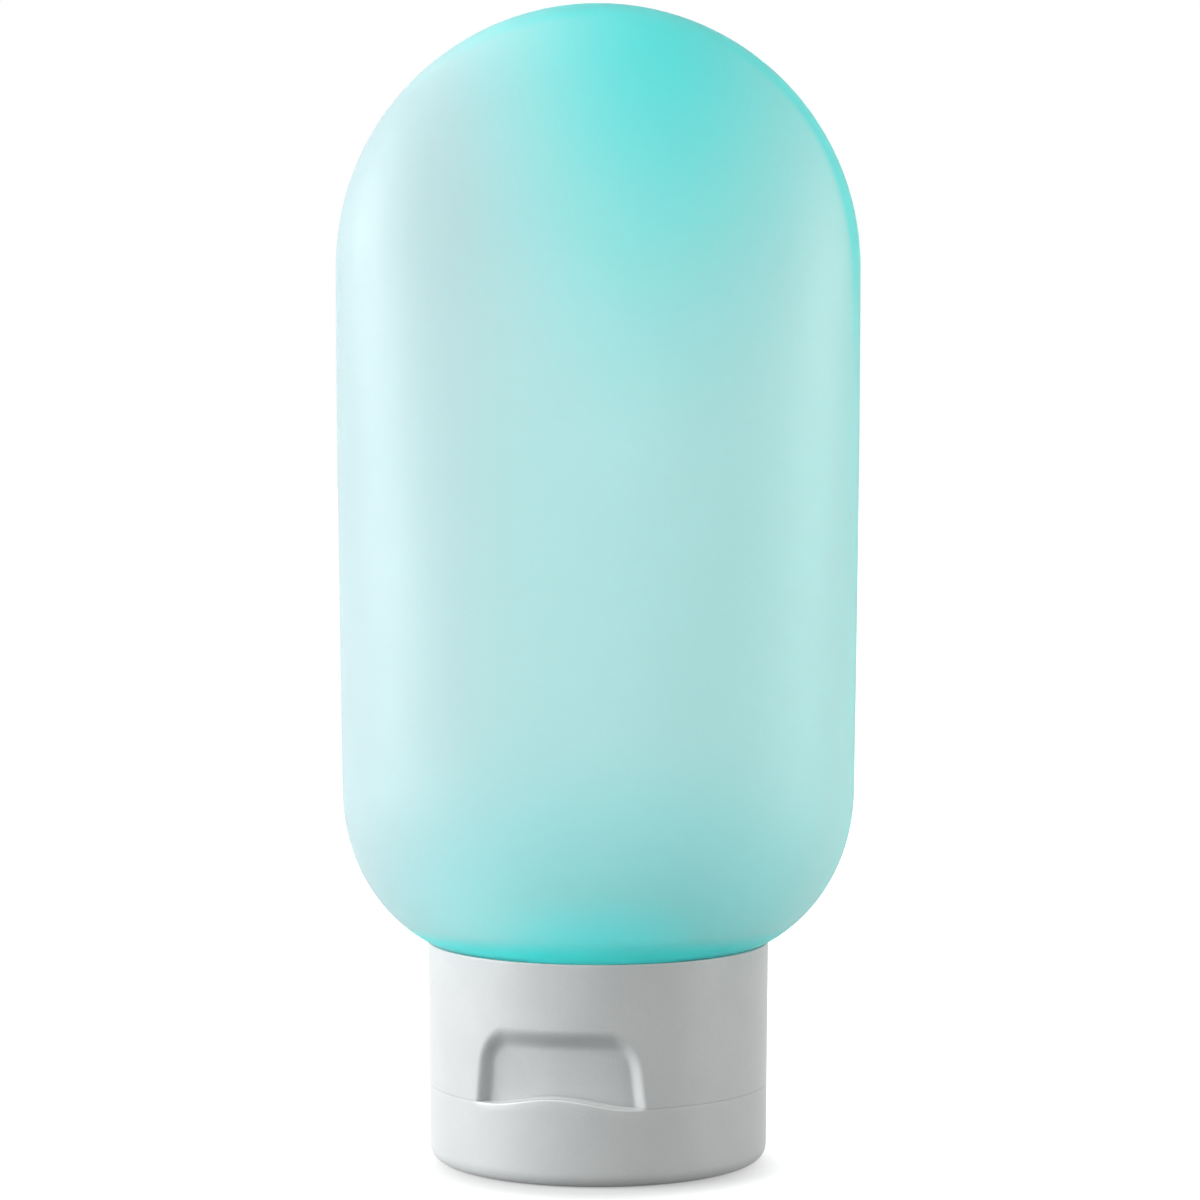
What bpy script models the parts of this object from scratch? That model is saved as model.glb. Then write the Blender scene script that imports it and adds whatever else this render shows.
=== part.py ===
"""Travel squeeze bottle that stands on its flip-top cap.

A soft silicone bottle body grips a rigid threaded neck ring. A two-piece cap screws
onto that ring: a base with a slit valve in its nozzle, and a lid on a hinge pin.
Metres, +Z up. The origin is the middle of the lid's flat face, on which the bottle
stands. The wide front of the body faces -Y.
"""

import math

import bmesh
import bpy
from mathutils import Matrix, Vector

# Driving sizes of the bottle body
BODY_HEIGHT = 0.1036        # from the rim that stands on the cap to the crown
BODY_WIDTH = 0.0580         # widest, across the front
BODY_LOW_WIDTH = 0.0570     # across the front, just above the lower corners
BODY_DEPTH = 0.0418         # deepest, front to back, just above the lower corners
CORNER_RISE = 0.0167        # how far above the rim the rounded lower corners end
CORNER_CUT = 0.0013         # how much of the corner's quarter ellipse the rim cuts off
CROWN_RISE = 0.0746         # how far above the rim the sides turn into the round crown
BODY_WALL = 0.0012
CROWN_WALL = 0.0020
LIP_THICKNESS = 0.0020      # the inward lip that the neck ring grips
SECTION_SQUARENESS = 2.2    # exponent of the cross-section, 2 is an ellipse
DEPTH_TAPER_POWER = 1.6     # how late the side view narrows towards the crown

# Driving sizes of the cap
CAP_RADIUS = 0.0190         # outside, at the rim under the body
CAP_HEIGHT = 0.0245         # rim of the cap above the table
CAP_DRAFT_DEGREES = 0.5
CAP_STOP_DEGREES = -14.4    # where the thread stops: the recess sits left of the front
LID_HEIGHT = 0.0085         # parting line between lid and base
LID_WALL = 0.0017
LID_FLOOR = 0.0015
LID_FILLET = 0.0016
SKIRT_WALL = 0.0014         # the outer wall of the cap base
DECK_THICKNESS = 0.0023

# Thumb recess in the cap base, and the tab of the lid that stands in it
RECESS_HEIGHT = 0.0088
RECESS_WIDTH = 0.0196       # along the parting line
RECESS_TOP_WIDTH = 0.0178
RECESS_DEPTH = 0.0024
RECESS_CORNER = 0.0031
RECESS_FLOOR_RADIUS = 0.0330
RECESS_SLOPE_DEGREES = 40.0
TAB_HEIGHT = 0.0011
TAB_WIDTH = 0.0160

# Nozzle, valve and seals
NOZZLE_BORE = 0.0064
NOZZLE_WALL = 0.0010
NOZZLE_END = 0.0012         # wall around the orifice
ORIFICE_RADIUS = 0.0042
VALVE_FLANGE = 0.0012
VALVE_SKIN = 0.0006
SLIT_LENGTH = 0.0044
SLIT_WIDTH = 0.0002
RETAINER_INSET = 0.0008     # how far it sits below the deck's top
SEAL_THICKNESS = 0.0028
SEAL_RING_HEIGHT = 0.0015   # collar on the lid's floor that holds the lid seal
SEAL_RING_WALL = 0.0010
GASKET_THICKNESS = 0.0010
GASKET_INSET = 0.0005

# Neck ring and screw thread
NECK_INSET = 0.0060         # from the cap's outside to the outside of the neck
NECK_WALL = 0.0017
NECK_SHOULDER_REACH = 0.0035
NECK_SHOULDER = 0.0016
NECK_FLANGE_REACH = 0.0030
NECK_FLANGE = 0.0015
INNER_SKIRT_WALL = 0.0015
THREAD_PITCH = 0.0040
THREAD_HEIGHT = 0.0010
THREAD_ROOT_WIDTH = 0.0018
THREAD_CREST_WIDTH = 0.0009
THREAD_FLANK_GAP = 0.0004
THREAD_END_ROOM = 0.0007    # plain neck above and below its ridge
CAP_THREAD_SHARE = 5.0 / 7.0  # of the neck thread's turns
THREAD_RUN_OUT_TURNS = 0.12
WELL_ANGLE_DEGREES = 270.0  # hollow between the cap's two skirts, away from the recess

# Hinge
KNUCKLE_RADIUS = 0.0014
HINGE_OFFSET = 0.0001       # pin axis outside the lid's wall
HINGE_WIDTH = 0.0098
LID_KNUCKLE_WIDTH = 0.0044
KNUCKLE_WEB = 0.0036        # how far a knuckle's foot runs along the wall
PIN_RADIUS = 0.0006
PIN_CLEARANCE = 0.0001

# Clearances and mesh steps
GAP = 0.0003                # between pieces that touch in the real bottle
SMALL_CHAMFER = 0.0003
OVERRUN = 0.0010            # how far every cutter passes the surface that it cuts
SHARP_DEGREES = 32.0
MERGE = 0.00001
ROUND_STEPS = 56
SMALL_STEPS = 32
PIN_STEPS = 20
SECTION_STEPS = 48
CORNER_RINGS = 7
SIDE_RINGS = 6
CROWN_RINGS = 8
THREAD_STEPS_PER_TURN = 32
FILLET_STEPS = 5
OUTLINE_ARC_STEPS = 6
TAB_STEPS = 16

# Derived heights, from the table up
PARTING_TOP = LID_HEIGHT + GAP
DECK_TOP = PARTING_TOP + DECK_THICKNESS
RECESS_TOP = LID_HEIGHT + RECESS_HEIGHT
SEAL_FACE = LID_FLOOR + GAP + SEAL_THICKNESS
NOZZLE_TIP = SEAL_FACE + GAP
VALVE_SEAT = NOZZLE_TIP + NOZZLE_END
VALVE_TOP = VALVE_SEAT + GAP + VALVE_FLANGE
GASKET_BOTTOM = DECK_TOP + GAP
NECK_BOTTOM = GASKET_BOTTOM + GASKET_THICKNESS + GAP
BODY_RIM = CAP_HEIGHT + GAP
BODY_TOP = BODY_RIM + BODY_HEIGHT
CORNER_TOP = BODY_RIM + CORNER_RISE
CROWN_START = BODY_RIM + CROWN_RISE
LIP_TOP = BODY_RIM + LIP_THICKNESS
SHOULDER_BOTTOM = CAP_HEIGHT - NECK_SHOULDER
WELL_TOP = SHOULDER_BOTTOM - GAP
HINGE_HEIGHT = LID_HEIGHT + GAP / 2.0

# Derived radii
CAP_DRAFT = math.tan(math.radians(CAP_DRAFT_DEGREES))
NECK_RADIUS = CAP_RADIUS - NECK_INSET
NECK_BORE = NECK_RADIUS - NECK_WALL
NOZZLE_RADIUS = NOZZLE_BORE + NOZZLE_WALL
THREAD_CREST_RADIUS = NECK_RADIUS + THREAD_HEIGHT
INNER_SKIRT_BORE = THREAD_CREST_RADIUS + GAP
CAP_THREAD_CREST = NECK_RADIUS + GAP
SKIRT_INNER = CAP_RADIUS - SKIRT_WALL
LIP_HOLE = NECK_RADIUS + GAP
HINGE_Y = CAP_RADIUS - CAP_DRAFT * (CAP_HEIGHT - LID_HEIGHT) + HINGE_OFFSET


def fresh_collections():
    """Empty the scene and return a collection for the parts and one for the cutters."""
    for old in list(bpy.data.objects):
        bpy.data.objects.remove(old, do_unlink=True)
    parts = bpy.data.collections.new("travel_squeeze_bottle")
    cutters = bpy.data.collections.new("cutters")
    bpy.context.scene.collection.children.link(parts)
    bpy.context.scene.collection.children.link(cutters)
    return parts, cutters


PARTS, CUTTERS = fresh_collections()


def plastic(name, color, roughness, metallic=0.0):
    """A Principled material in the piece's own colour."""
    material = bpy.data.materials.new(name)
    material.use_nodes = True
    shader = material.node_tree.nodes["Principled BSDF"]
    shader.inputs["Base Color"].default_value = (*color, 1.0)
    shader.inputs["Roughness"].default_value = roughness
    shader.inputs["Metallic"].default_value = metallic
    material.diffuse_color = (*color, 1.0)
    return material


def place(name, mesh, collection=PARTS):
    piece = bpy.data.objects.new(name, mesh)
    collection.objects.link(piece)
    return piece


def cutter(name, mesh):
    """A helper that only cuts: drawn as wires and left out of the build."""
    piece = place(name, mesh, CUTTERS)
    piece.display_type = "WIRE"
    piece.hide_render = True
    return piece


def settle(piece):
    """Replace a piece's mesh with what its modifiers make of it."""
    bpy.context.view_layer.update()
    evaluated = piece.evaluated_get(bpy.context.evaluated_depsgraph_get())
    mesh = bpy.data.meshes.new_from_object(evaluated)
    mesh.name = piece.name
    piece.modifiers.clear()
    piece.data = mesh
    return piece


def dress(piece, material):
    """Smooth shading with sharp edges, and the piece's own material."""
    piece.data.shade_smooth()
    piece.data.set_sharp_from_angle(angle=math.radians(SHARP_DEGREES))
    piece.data.materials.clear()
    piece.data.materials.append(material)
    return piece


def mesh_from(name, bm):
    """Turn all faces outward and hand the bmesh over to a new mesh."""
    bmesh.ops.recalc_face_normals(bm, faces=bm.faces)
    mesh = bpy.data.meshes.new(name)
    bm.to_mesh(mesh)
    bm.free()
    return mesh


def turned_mesh(name, profile, steps, closed):
    """Spin a profile of (radius, height) points about Z with a Screw modifier."""
    count = len(profile)
    edges = [(i, i + 1) for i in range(count - 1)]
    if closed:
        edges.append((count - 1, 0))
    outline = bpy.data.meshes.new(name)
    outline.from_pydata([(r, 0.0, z) for r, z in profile], edges, [])
    spun = place(name, outline, CUTTERS)
    screw = spun.modifiers.new("spin", "SCREW")
    screw.axis = "Z"
    screw.angle = math.tau
    screw.steps = steps
    screw.render_steps = steps
    screw.use_merge_vertices = True
    screw.merge_threshold = MERGE
    settle(spun)
    bm = bmesh.new()
    bm.from_mesh(spun.data)
    bpy.data.objects.remove(spun, do_unlink=True)
    return mesh_from(name, bm)


def loft_mesh(name, rings, start_pole=None, end_pole=None):
    """Skin rings of equally many points; each end is a fan to its pole, or a flat cap."""
    bm = bmesh.new()
    loops = [[bm.verts.new(point) for point in ring] for ring in rings]
    count = len(rings[0])
    for lower, upper in zip(loops, loops[1:]):
        for i in range(count):
            j = (i + 1) % count
            bm.faces.new((lower[i], lower[j], upper[j], upper[i]))
    for loop, pole in ((loops[0], start_pole), (loops[-1], end_pole)):
        if pole is None:
            bm.faces.new(loop)
            continue
        tip = bm.verts.new(pole)
        for i in range(count):
            bm.faces.new((loop[i], loop[(i + 1) % count], tip))
    return mesh_from(name, bm)


def box_mesh(name, low, high):
    bm = bmesh.new()
    bmesh.ops.create_cube(bm, size=1.0)
    low, high = Vector(low), Vector(high)
    size = high - low
    middle = (high + low) / 2.0
    for vertex in bm.verts:
        vertex.co = Vector((vertex.co[i] * size[i] + middle[i] for i in range(3)))
    return mesh_from(name, bm)


def rod_mesh(name, radius, x_from, x_to, steps):
    """A cylinder along X on the hinge axis."""
    bm = bmesh.new()
    turn = Matrix.Rotation(math.pi / 2.0, 4, "Y")
    shift = Matrix.Translation(((x_from + x_to) / 2.0, HINGE_Y, HINGE_HEIGHT))
    bmesh.ops.create_cone(
        bm, cap_ends=True, segments=steps, radius1=radius, radius2=radius,
        depth=x_to - x_from, matrix=shift @ turn)
    return mesh_from(name, bm)


def extruded_mesh(name, outline, move):
    """A flat outline of 3D points, pushed along a vector into a solid."""
    bm = bmesh.new()
    face = bm.faces.new([bm.verts.new(point) for point in outline])
    pushed = bmesh.ops.extrude_face_region(bm, geom=[face])
    new_vertices = [v for v in pushed["geom"] if isinstance(v, bmesh.types.BMVert)]
    bmesh.ops.translate(bm, vec=move, verts=new_vertices)
    return mesh_from(name, bm)


def combine(piece, other, operation):
    modifier = piece.modifiers.new(operation.lower() + "_" + other.name, "BOOLEAN")
    modifier.operation = operation
    modifier.solver = "EXACT"
    modifier.object = other
    return piece


def cut(piece, name, mesh):
    return combine(piece, cutter(name, mesh), "DIFFERENCE")


def join(piece, name, mesh):
    return combine(piece, cutter(name, mesh), "UNION")


def arc(centre, radius, start_degrees, end_degrees, steps):
    """Points of an arc in a plane, both ends included."""
    points = []
    for i in range(steps + 1):
        angle = math.radians(start_degrees + (end_degrees - start_degrees) * i / steps)
        points.append((centre[0] + radius * math.cos(angle),
                       centre[1] + radius * math.sin(angle)))
    return points


def cap_radius(height):
    """Outside radius of the drafted cap at a height."""
    return CAP_RADIUS - CAP_DRAFT * (CAP_HEIGHT - height)


def signed_power(value, power):
    return math.copysign(abs(value) ** power, value)


def section_ring(half_width, half_depth, squareness, height):
    """One cross-section of the body, a rounded oval."""
    ring = []
    for i in range(SECTION_STEPS):
        angle = math.tau * i / SECTION_STEPS
        ring.append((half_width * signed_power(math.cos(angle), 2.0 / squareness),
                     half_depth * signed_power(math.sin(angle), 2.0 / squareness),
                     height))
    return ring


def body_sections(inset, crown_inset, floor_inset):
    """Sections from the rim to the crown, moved inward by a wall."""
    top = BODY_TOP - crown_inset
    rise = CORNER_RISE - floor_inset
    drop = rise + CORNER_CUT
    rim_radius = CAP_RADIUS - SMALL_CHAMFER - inset
    low_width = BODY_LOW_WIDTH / 2.0 - inset
    wide = BODY_WIDTH / 2.0 - inset
    depth = BODY_DEPTH / 2.0 - inset
    # The quarter ellipse is cut off at the rim, so its axes are widened to land there
    rim_angle = math.asin(rise / drop)
    reach = 1.0 - math.cos(rim_angle)
    corner_x = (low_width - rim_radius) / reach
    corner_y = (depth - rim_radius) / reach
    sections = []

    def side_depth(height):
        share = (height - CORNER_TOP) / (top - CORNER_TOP)
        return depth * math.sqrt(max(0.0, 1.0 - share ** DEPTH_TAPER_POWER))

    for i in range(CORNER_RINGS):
        share = i / CORNER_RINGS
        angle = rim_angle * (1.0 - share)
        squareness = 2.0 + (SECTION_SQUARENESS - 2.0) * share
        sections.append((low_width - corner_x * (1.0 - math.cos(angle)),
                         depth - corner_y * (1.0 - math.cos(angle)),
                         squareness, CORNER_TOP - drop * math.sin(angle)))
    for i in range(SIDE_RINGS):
        share = i / SIDE_RINGS
        height = CORNER_TOP + (CROWN_START - CORNER_TOP) * share
        swell = math.sin(share * math.pi / 2.0)
        sections.append((low_width + (wide - low_width) * swell,
                         side_depth(height), SECTION_SQUARENESS, height))
    for i in range(CROWN_RINGS):
        angle = i / CROWN_RINGS * math.pi / 2.0
        height = CROWN_START + (top - CROWN_START) * math.sin(angle)
        sections.append((wide * math.cos(angle), side_depth(height),
                         SECTION_SQUARENESS, height))
    return sections, (0.0, 0.0, top)


def bottle_body():
    """Soft shell: an oval pillow on a round mouth, with an inward lip for the neck ring."""
    outer, outer_tip = body_sections(0.0, 0.0, 0.0)
    inner, inner_tip = body_sections(BODY_WALL, CROWN_WALL, LIP_THICKNESS)
    rings = [section_ring(*section) for section in reversed(inner)]
    rings.append(section_ring(LIP_HOLE, LIP_HOLE, 2.0, LIP_TOP))
    rings.append(section_ring(LIP_HOLE, LIP_HOLE, 2.0, BODY_RIM))
    rings += [section_ring(*section) for section in outer]
    body = place("bottle_body", loft_mesh("bottle_body", rings, inner_tip, outer_tip))
    return dress(body, plastic("teal_silicone", (0.36, 0.73, 0.72), 0.45))


def thread_mesh(name, wall, crest, middle, turns, handed_start):
    """A helical ridge on a wall; it sinks into the wall over its run-outs."""
    steps = round(THREAD_STEPS_PER_TURN * turns)
    inward = 1.0 if crest > wall else -1.0
    sunk = wall - inward * OVERRUN / 2.0
    root_half = THREAD_ROOT_WIDTH / 2.0
    crest_half = THREAD_CREST_WIDTH / 2.0
    rings = []
    for i in range(steps + 1):
        turn = turns * i / steps
        angle = handed_start + math.tau * turn
        height = middle + THREAD_PITCH * (turn - turns / 2.0)
        from_end = min(turn, turns - turn) / THREAD_RUN_OUT_TURNS
        rise = min(1.0, from_end)
        tip = sunk + (crest - sunk) * (GAP / THREAD_HEIGHT + rise * (1.0 - GAP / THREAD_HEIGHT))
        direction = Vector((math.cos(angle), math.sin(angle), 0.0))
        ring = []
        for radius, offset in ((sunk, -root_half), (tip, -crest_half),
                               (tip, crest_half), (sunk, root_half)):
            ring.append(direction * radius + Vector((0.0, 0.0, height + offset)))
        rings.append(ring)
    return loft_mesh(name, rings)


THREAD_MIDDLE = (NECK_BOTTOM + SHOULDER_BOTTOM) / 2.0
THREAD_RISE = SHOULDER_BOTTOM - NECK_BOTTOM - 2.0 * THREAD_END_ROOM - THREAD_ROOT_WIDTH
NECK_THREAD_TURNS = THREAD_RISE / THREAD_PITCH
CAP_THREAD_TURNS = NECK_THREAD_TURNS * CAP_THREAD_SHARE
# Both threads share one helix; the cap's ridge lies below the neck's by this much
RIDGE_STEP = (THREAD_ROOT_WIDTH + THREAD_CREST_WIDTH) / 2.0 + THREAD_FLANK_GAP
NECK_THREAD_START = 0.0
CAP_THREAD_MIDDLE = THREAD_MIDDLE - RIDGE_STEP
CAP_THREAD_START = (NECK_THREAD_START + math.pi * (NECK_THREAD_TURNS - CAP_THREAD_TURNS)
                    - math.radians(CAP_STOP_DEGREES))


def neck_ring():
    """Rigid insert: thread below, and a groove that grips the body's lip."""
    flange_bottom = LIP_TOP + GAP
    flange_top = flange_bottom + NECK_FLANGE
    flange = NECK_RADIUS + NECK_FLANGE_REACH
    shoulder = NECK_RADIUS + NECK_SHOULDER_REACH
    profile = [
        (flange - SMALL_CHAMFER, flange_top),
        (flange, flange_top - SMALL_CHAMFER),
        (flange, flange_bottom),
        (NECK_RADIUS, flange_bottom),
        (NECK_RADIUS, CAP_HEIGHT),
        (shoulder, CAP_HEIGHT),
        (shoulder, SHOULDER_BOTTOM),
        (NECK_RADIUS, SHOULDER_BOTTOM),
        (NECK_RADIUS, NECK_BOTTOM + SMALL_CHAMFER),
        (NECK_RADIUS - SMALL_CHAMFER, NECK_BOTTOM),
        (NECK_BORE + SMALL_CHAMFER, NECK_BOTTOM),
        (NECK_BORE, NECK_BOTTOM + SMALL_CHAMFER),
        (NECK_BORE, flange_top - SMALL_CHAMFER),
        (NECK_BORE + SMALL_CHAMFER, flange_top),
    ]
    ring = place("neck_ring", turned_mesh("neck_ring", profile, ROUND_STEPS, closed=True))
    join(ring, "neck_thread", thread_mesh(
        "neck_thread", NECK_RADIUS, THREAD_CREST_RADIUS, THREAD_MIDDLE,
        NECK_THREAD_TURNS, NECK_THREAD_START))
    settle(ring)
    return dress(ring, plastic("neck_plastic", (0.80, 0.82, 0.82), 0.40))


def neck_gasket():
    """Flat seal between the neck ring's end and the cap's deck."""
    inner = NECK_BORE - GASKET_INSET
    outer = INNER_SKIRT_BORE - GAP
    top = GASKET_BOTTOM + GASKET_THICKNESS
    profile = [(outer, top), (outer, GASKET_BOTTOM), (inner, GASKET_BOTTOM), (inner, top)]
    gasket = place("neck_gasket", turned_mesh("neck_gasket", profile, ROUND_STEPS, closed=True))
    return dress(gasket, plastic("gasket_rubber", (0.88, 0.89, 0.88), 0.60))


def recess_outline(half_bottom, half_top, bottom, top, corner, depth_at):
    """Trapezoid with round upper corners, as (x, y, z) points at one depth."""
    lean = math.atan2(half_bottom - half_top, top - bottom)
    lean_degrees = math.degrees(lean)
    # The corner's circle touches the level top and the leaning side
    corner_x = half_top - corner * math.tan((math.pi / 2.0 - lean) / 2.0)
    corner_z = top - corner
    right = arc((corner_x, corner_z), corner, lean_degrees, 90.0, OUTLINE_ARC_STEPS)
    points = [(half_bottom, bottom)] + right
    points += [(-x, z) for x, z in reversed(points)]
    return [(x, depth_at, z) for x, z in points]


def recess_mesh():
    """Cutter for the thumb recess: drafted sides, open below, and a gently round floor."""
    slope = math.tan(math.radians(RECESS_SLOPE_DEGREES))
    floor_y = -(cap_radius(LID_HEIGHT) - RECESS_DEPTH)
    # The named widths are those of the outline on the cap's round surface
    edge_y = -math.sqrt(cap_radius(LID_HEIGHT) ** 2 - (RECESS_WIDTH / 2.0) ** 2)
    deep_y = floor_y + RECESS_DEPTH
    out_y = -(CAP_RADIUS + OVERRUN)
    bottom = LID_HEIGHT - OVERRUN
    rings = []
    for depth_at in (deep_y, out_y):
        grow = (edge_y - depth_at) * slope
        rings.append(recess_outline(
            RECESS_WIDTH / 2.0 + grow, RECESS_TOP_WIDTH / 2.0 + grow, bottom,
            RECESS_TOP + grow, RECESS_CORNER + grow * slope / (1.0 + slope), depth_at))
    shape = cutter("recess_shape", loft_mesh("recess_shape", rings))
    bm = bmesh.new()
    middle_z = (LID_HEIGHT + RECESS_TOP) / 2.0
    bmesh.ops.create_cone(
        bm, cap_ends=True, segments=2 * ROUND_STEPS, radius1=RECESS_FLOOR_RADIUS,
        radius2=RECESS_FLOOR_RADIUS, depth=CAP_HEIGHT,
        matrix=Matrix.Translation((0.0, floor_y + RECESS_FLOOR_RADIUS, middle_z)))
    combine(shape, cutter("recess_floor", mesh_from("recess_floor", bm)), "DIFFERENCE")
    settle(shape)
    mesh = shape.data.copy()
    bpy.data.objects.remove(shape, do_unlink=True)
    return mesh


def well_mesh():
    """Cutter for the hollow between the two skirts, all round but behind the recess."""
    inner = INNER_SKIRT_BORE + INNER_SKIRT_WALL
    outer = SKIRT_INNER - SMALL_CHAMFER
    low = DECK_TOP
    high = WELL_TOP + OVERRUN
    sweep = math.radians(WELL_ANGLE_DEGREES)
    # An odd number of steps keeps the cutter's edges off those of the turned base
    steps = 2 * round(ROUND_STEPS * WELL_ANGLE_DEGREES / 720.0) - 1
    rings = []
    for i in range(steps + 1):
        angle = math.pi / 2.0 + sweep * (i / steps - 1.0 / 2.0)
        direction = Vector((math.cos(angle), math.sin(angle), 0.0))
        rings.append([direction * radius + Vector((0.0, 0.0, height))
                      for radius, height in ((inner, low), (outer, low),
                                             (outer, high), (inner, high))])
    return loft_mesh("skirt_well", rings)


def knuckle_mesh(name, x_from, x_to, upward):
    """A hinge knuckle: a round barrel with a foot that runs along the wall."""
    side = 1.0 if upward else -1.0
    barrel = arc((0.0, 0.0), KNUCKLE_RADIUS, 40.0, -180.0, 2 * OUTLINE_ARC_STEPS)
    foot_end = (-HINGE_OFFSET - KNUCKLE_RADIUS, KNUCKLE_WEB)
    outline = [(x_from, HINGE_Y + y, HINGE_HEIGHT + side * z) for y, z in barrel + [foot_end]]
    return extruded_mesh(name, outline, (x_to - x_from, 0.0, 0.0))


def cap_base():
    """Screw base: outer and inner skirts, deck, nozzle, thumb recess and two knuckles."""
    profile = [
        (cap_radius(CAP_HEIGHT) - SMALL_CHAMFER, CAP_HEIGHT),
        (cap_radius(CAP_HEIGHT - SMALL_CHAMFER), CAP_HEIGHT - SMALL_CHAMFER),
        (cap_radius(PARTING_TOP), PARTING_TOP),
        (NOZZLE_RADIUS, PARTING_TOP),
        (NOZZLE_RADIUS, NOZZLE_TIP + SMALL_CHAMFER),
        (NOZZLE_RADIUS - SMALL_CHAMFER, NOZZLE_TIP),
        (ORIFICE_RADIUS + SMALL_CHAMFER, NOZZLE_TIP),
        (ORIFICE_RADIUS, NOZZLE_TIP + SMALL_CHAMFER),
        (ORIFICE_RADIUS, VALVE_SEAT),
        (NOZZLE_BORE, VALVE_SEAT),
        (NOZZLE_BORE, DECK_TOP),
        (INNER_SKIRT_BORE, DECK_TOP),
        (INNER_SKIRT_BORE, WELL_TOP),
        (SKIRT_INNER, WELL_TOP),
        (SKIRT_INNER, CAP_HEIGHT),
    ]
    base = place("cap_base", turned_mesh("cap_base", profile, ROUND_STEPS, closed=True))
    cut(base, "skirt_well", well_mesh())
    join(base, "cap_thread", thread_mesh(
        "cap_thread", INNER_SKIRT_BORE, CAP_THREAD_CREST, CAP_THREAD_MIDDLE,
        CAP_THREAD_TURNS, CAP_THREAD_START))
    cut(base, "thumb_recess", recess_mesh())
    # One barrel across the back; the room for the lid's knuckle parts it in two
    half = HINGE_WIDTH / 2.0
    room = LID_KNUCKLE_WIDTH / 2.0 + GAP
    join(base, "base_knuckles", knuckle_mesh("base_knuckles", -half, half, upward=True))
    cut(base, "lid_knuckle_room", rod_mesh(
        "lid_knuckle_room", KNUCKLE_RADIUS + GAP, -room, room, SMALL_STEPS))
    half += OVERRUN
    cut(base, "base_pin_hole", rod_mesh(
        "base_pin_hole", PIN_RADIUS + PIN_CLEARANCE, -half, half, PIN_STEPS))
    settle(base)
    return dress(base, plastic("cap_plastic", (0.62, 0.65, 0.65), 0.42))


def lid_parting_mesh():
    """Cutter above the lid's rim, with the round hump that leaves the thumb tab."""
    reach = CAP_RADIUS + OVERRUN
    high = LID_HEIGHT + TAB_HEIGHT + OVERRUN
    outline = [(-reach, high), (-reach, LID_HEIGHT)]
    for i in range(TAB_STEPS + 1):
        share = 2.0 * i / TAB_STEPS - 1.0
        hump = (1.0 + math.cos(math.pi * share)) / 2.0
        outline.append((share * TAB_WIDTH / 2.0, LID_HEIGHT + TAB_HEIGHT * hump))
    outline += [(reach, LID_HEIGHT), (reach, high)]
    return extruded_mesh(
        "lid_parting", [(x, -reach, z) for x, z in outline], (0.0, reach, 0.0))


def flip_lid():
    """Shallow cup on which the bottle stands, with a seal collar and a middle knuckle."""
    outside = cap_radius(LID_FILLET)
    inside = cap_radius(0.0) - LID_WALL
    high = LID_HEIGHT + TAB_HEIGHT
    collar_inner = NOZZLE_RADIUS
    collar_outer = collar_inner + SEAL_RING_WALL
    collar_top = LID_FLOOR + SEAL_RING_HEIGHT
    inner_fillet = LID_FILLET - LID_FLOOR / 2.0
    profile = [(0.0, LID_FLOOR), (collar_inner, LID_FLOOR), (collar_inner, collar_top),
               (collar_outer, collar_top), (collar_outer, LID_FLOOR)]
    profile += arc((inside - inner_fillet, LID_FLOOR + inner_fillet), inner_fillet,
                   -90.0, 0.0, FILLET_STEPS)
    profile += [(inside, high), (cap_radius(high), high)]
    profile += arc((outside - LID_FILLET, LID_FILLET), LID_FILLET, 0.0, -90.0, FILLET_STEPS)
    profile.append((0.0, 0.0))
    lid = place("flip_lid", turned_mesh("flip_lid", profile, ROUND_STEPS, closed=False))
    reach = CAP_RADIUS + OVERRUN
    cut(lid, "lid_parting", lid_parting_mesh())
    cut(lid, "lid_back_parting", box_mesh(
        "lid_back_parting", (-reach, -OVERRUN, LID_HEIGHT), (reach, reach, high + OVERRUN)))
    # The knuckle starts a little too wide; the rooms beside it trim it to its width
    half = LID_KNUCKLE_WIDTH / 2.0
    wide = half + GAP / 2.0
    end = HINGE_WIDTH / 2.0 + GAP
    join(lid, "lid_knuckle", knuckle_mesh("lid_knuckle", -wide, wide, upward=False))
    for name, x_from, x_to in (("left_knuckle_room", -end, -half),
                               ("right_knuckle_room", half, end)):
        cut(lid, name, rod_mesh(name, KNUCKLE_RADIUS + GAP, x_from, x_to, SMALL_STEPS))
    half += OVERRUN
    cut(lid, "lid_pin_hole", rod_mesh(
        "lid_pin_hole", PIN_RADIUS + PIN_CLEARANCE, -half, half, PIN_STEPS))
    settle(lid)
    return dress(lid, plastic("lid_plastic", (0.62, 0.65, 0.65), 0.42))


def slit_valve():
    """Soft valve: a clamped flange and a cup whose skin opens along a cross slit."""
    flange = NOZZLE_BORE - GAP
    cup = ORIFICE_RADIUS - GAP
    skin_low = NOZZLE_TIP + GAP
    skin_high = skin_low + VALVE_SKIN
    flange_low = VALVE_SEAT + GAP
    profile = [
        (flange, VALVE_TOP), (flange, flange_low), (cup, flange_low), (cup, skin_low),
        (0.0, skin_low), (0.0, skin_high), (cup - VALVE_SKIN, skin_high),
        (cup - VALVE_SKIN, VALVE_TOP),
    ]
    # The profile starts and ends on its open top ring, so it is closed there
    outline = profile[5:] + profile[:5]
    valve = place("slit_valve", turned_mesh("slit_valve", outline, SMALL_STEPS, closed=False))
    half = SLIT_LENGTH / 2.0
    thin = SLIT_WIDTH / 2.0
    low = skin_low - OVERRUN
    high = skin_high + OVERRUN
    cut(valve, "slit_across", box_mesh("slit_across", (-half, -thin, low), (half, thin, high)))
    cut(valve, "slit_along", box_mesh("slit_along", (-thin, -half, low), (thin, half, high)))
    settle(valve)
    return dress(valve, plastic("valve_silicone", (0.90, 0.91, 0.91), 0.50))


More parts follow.
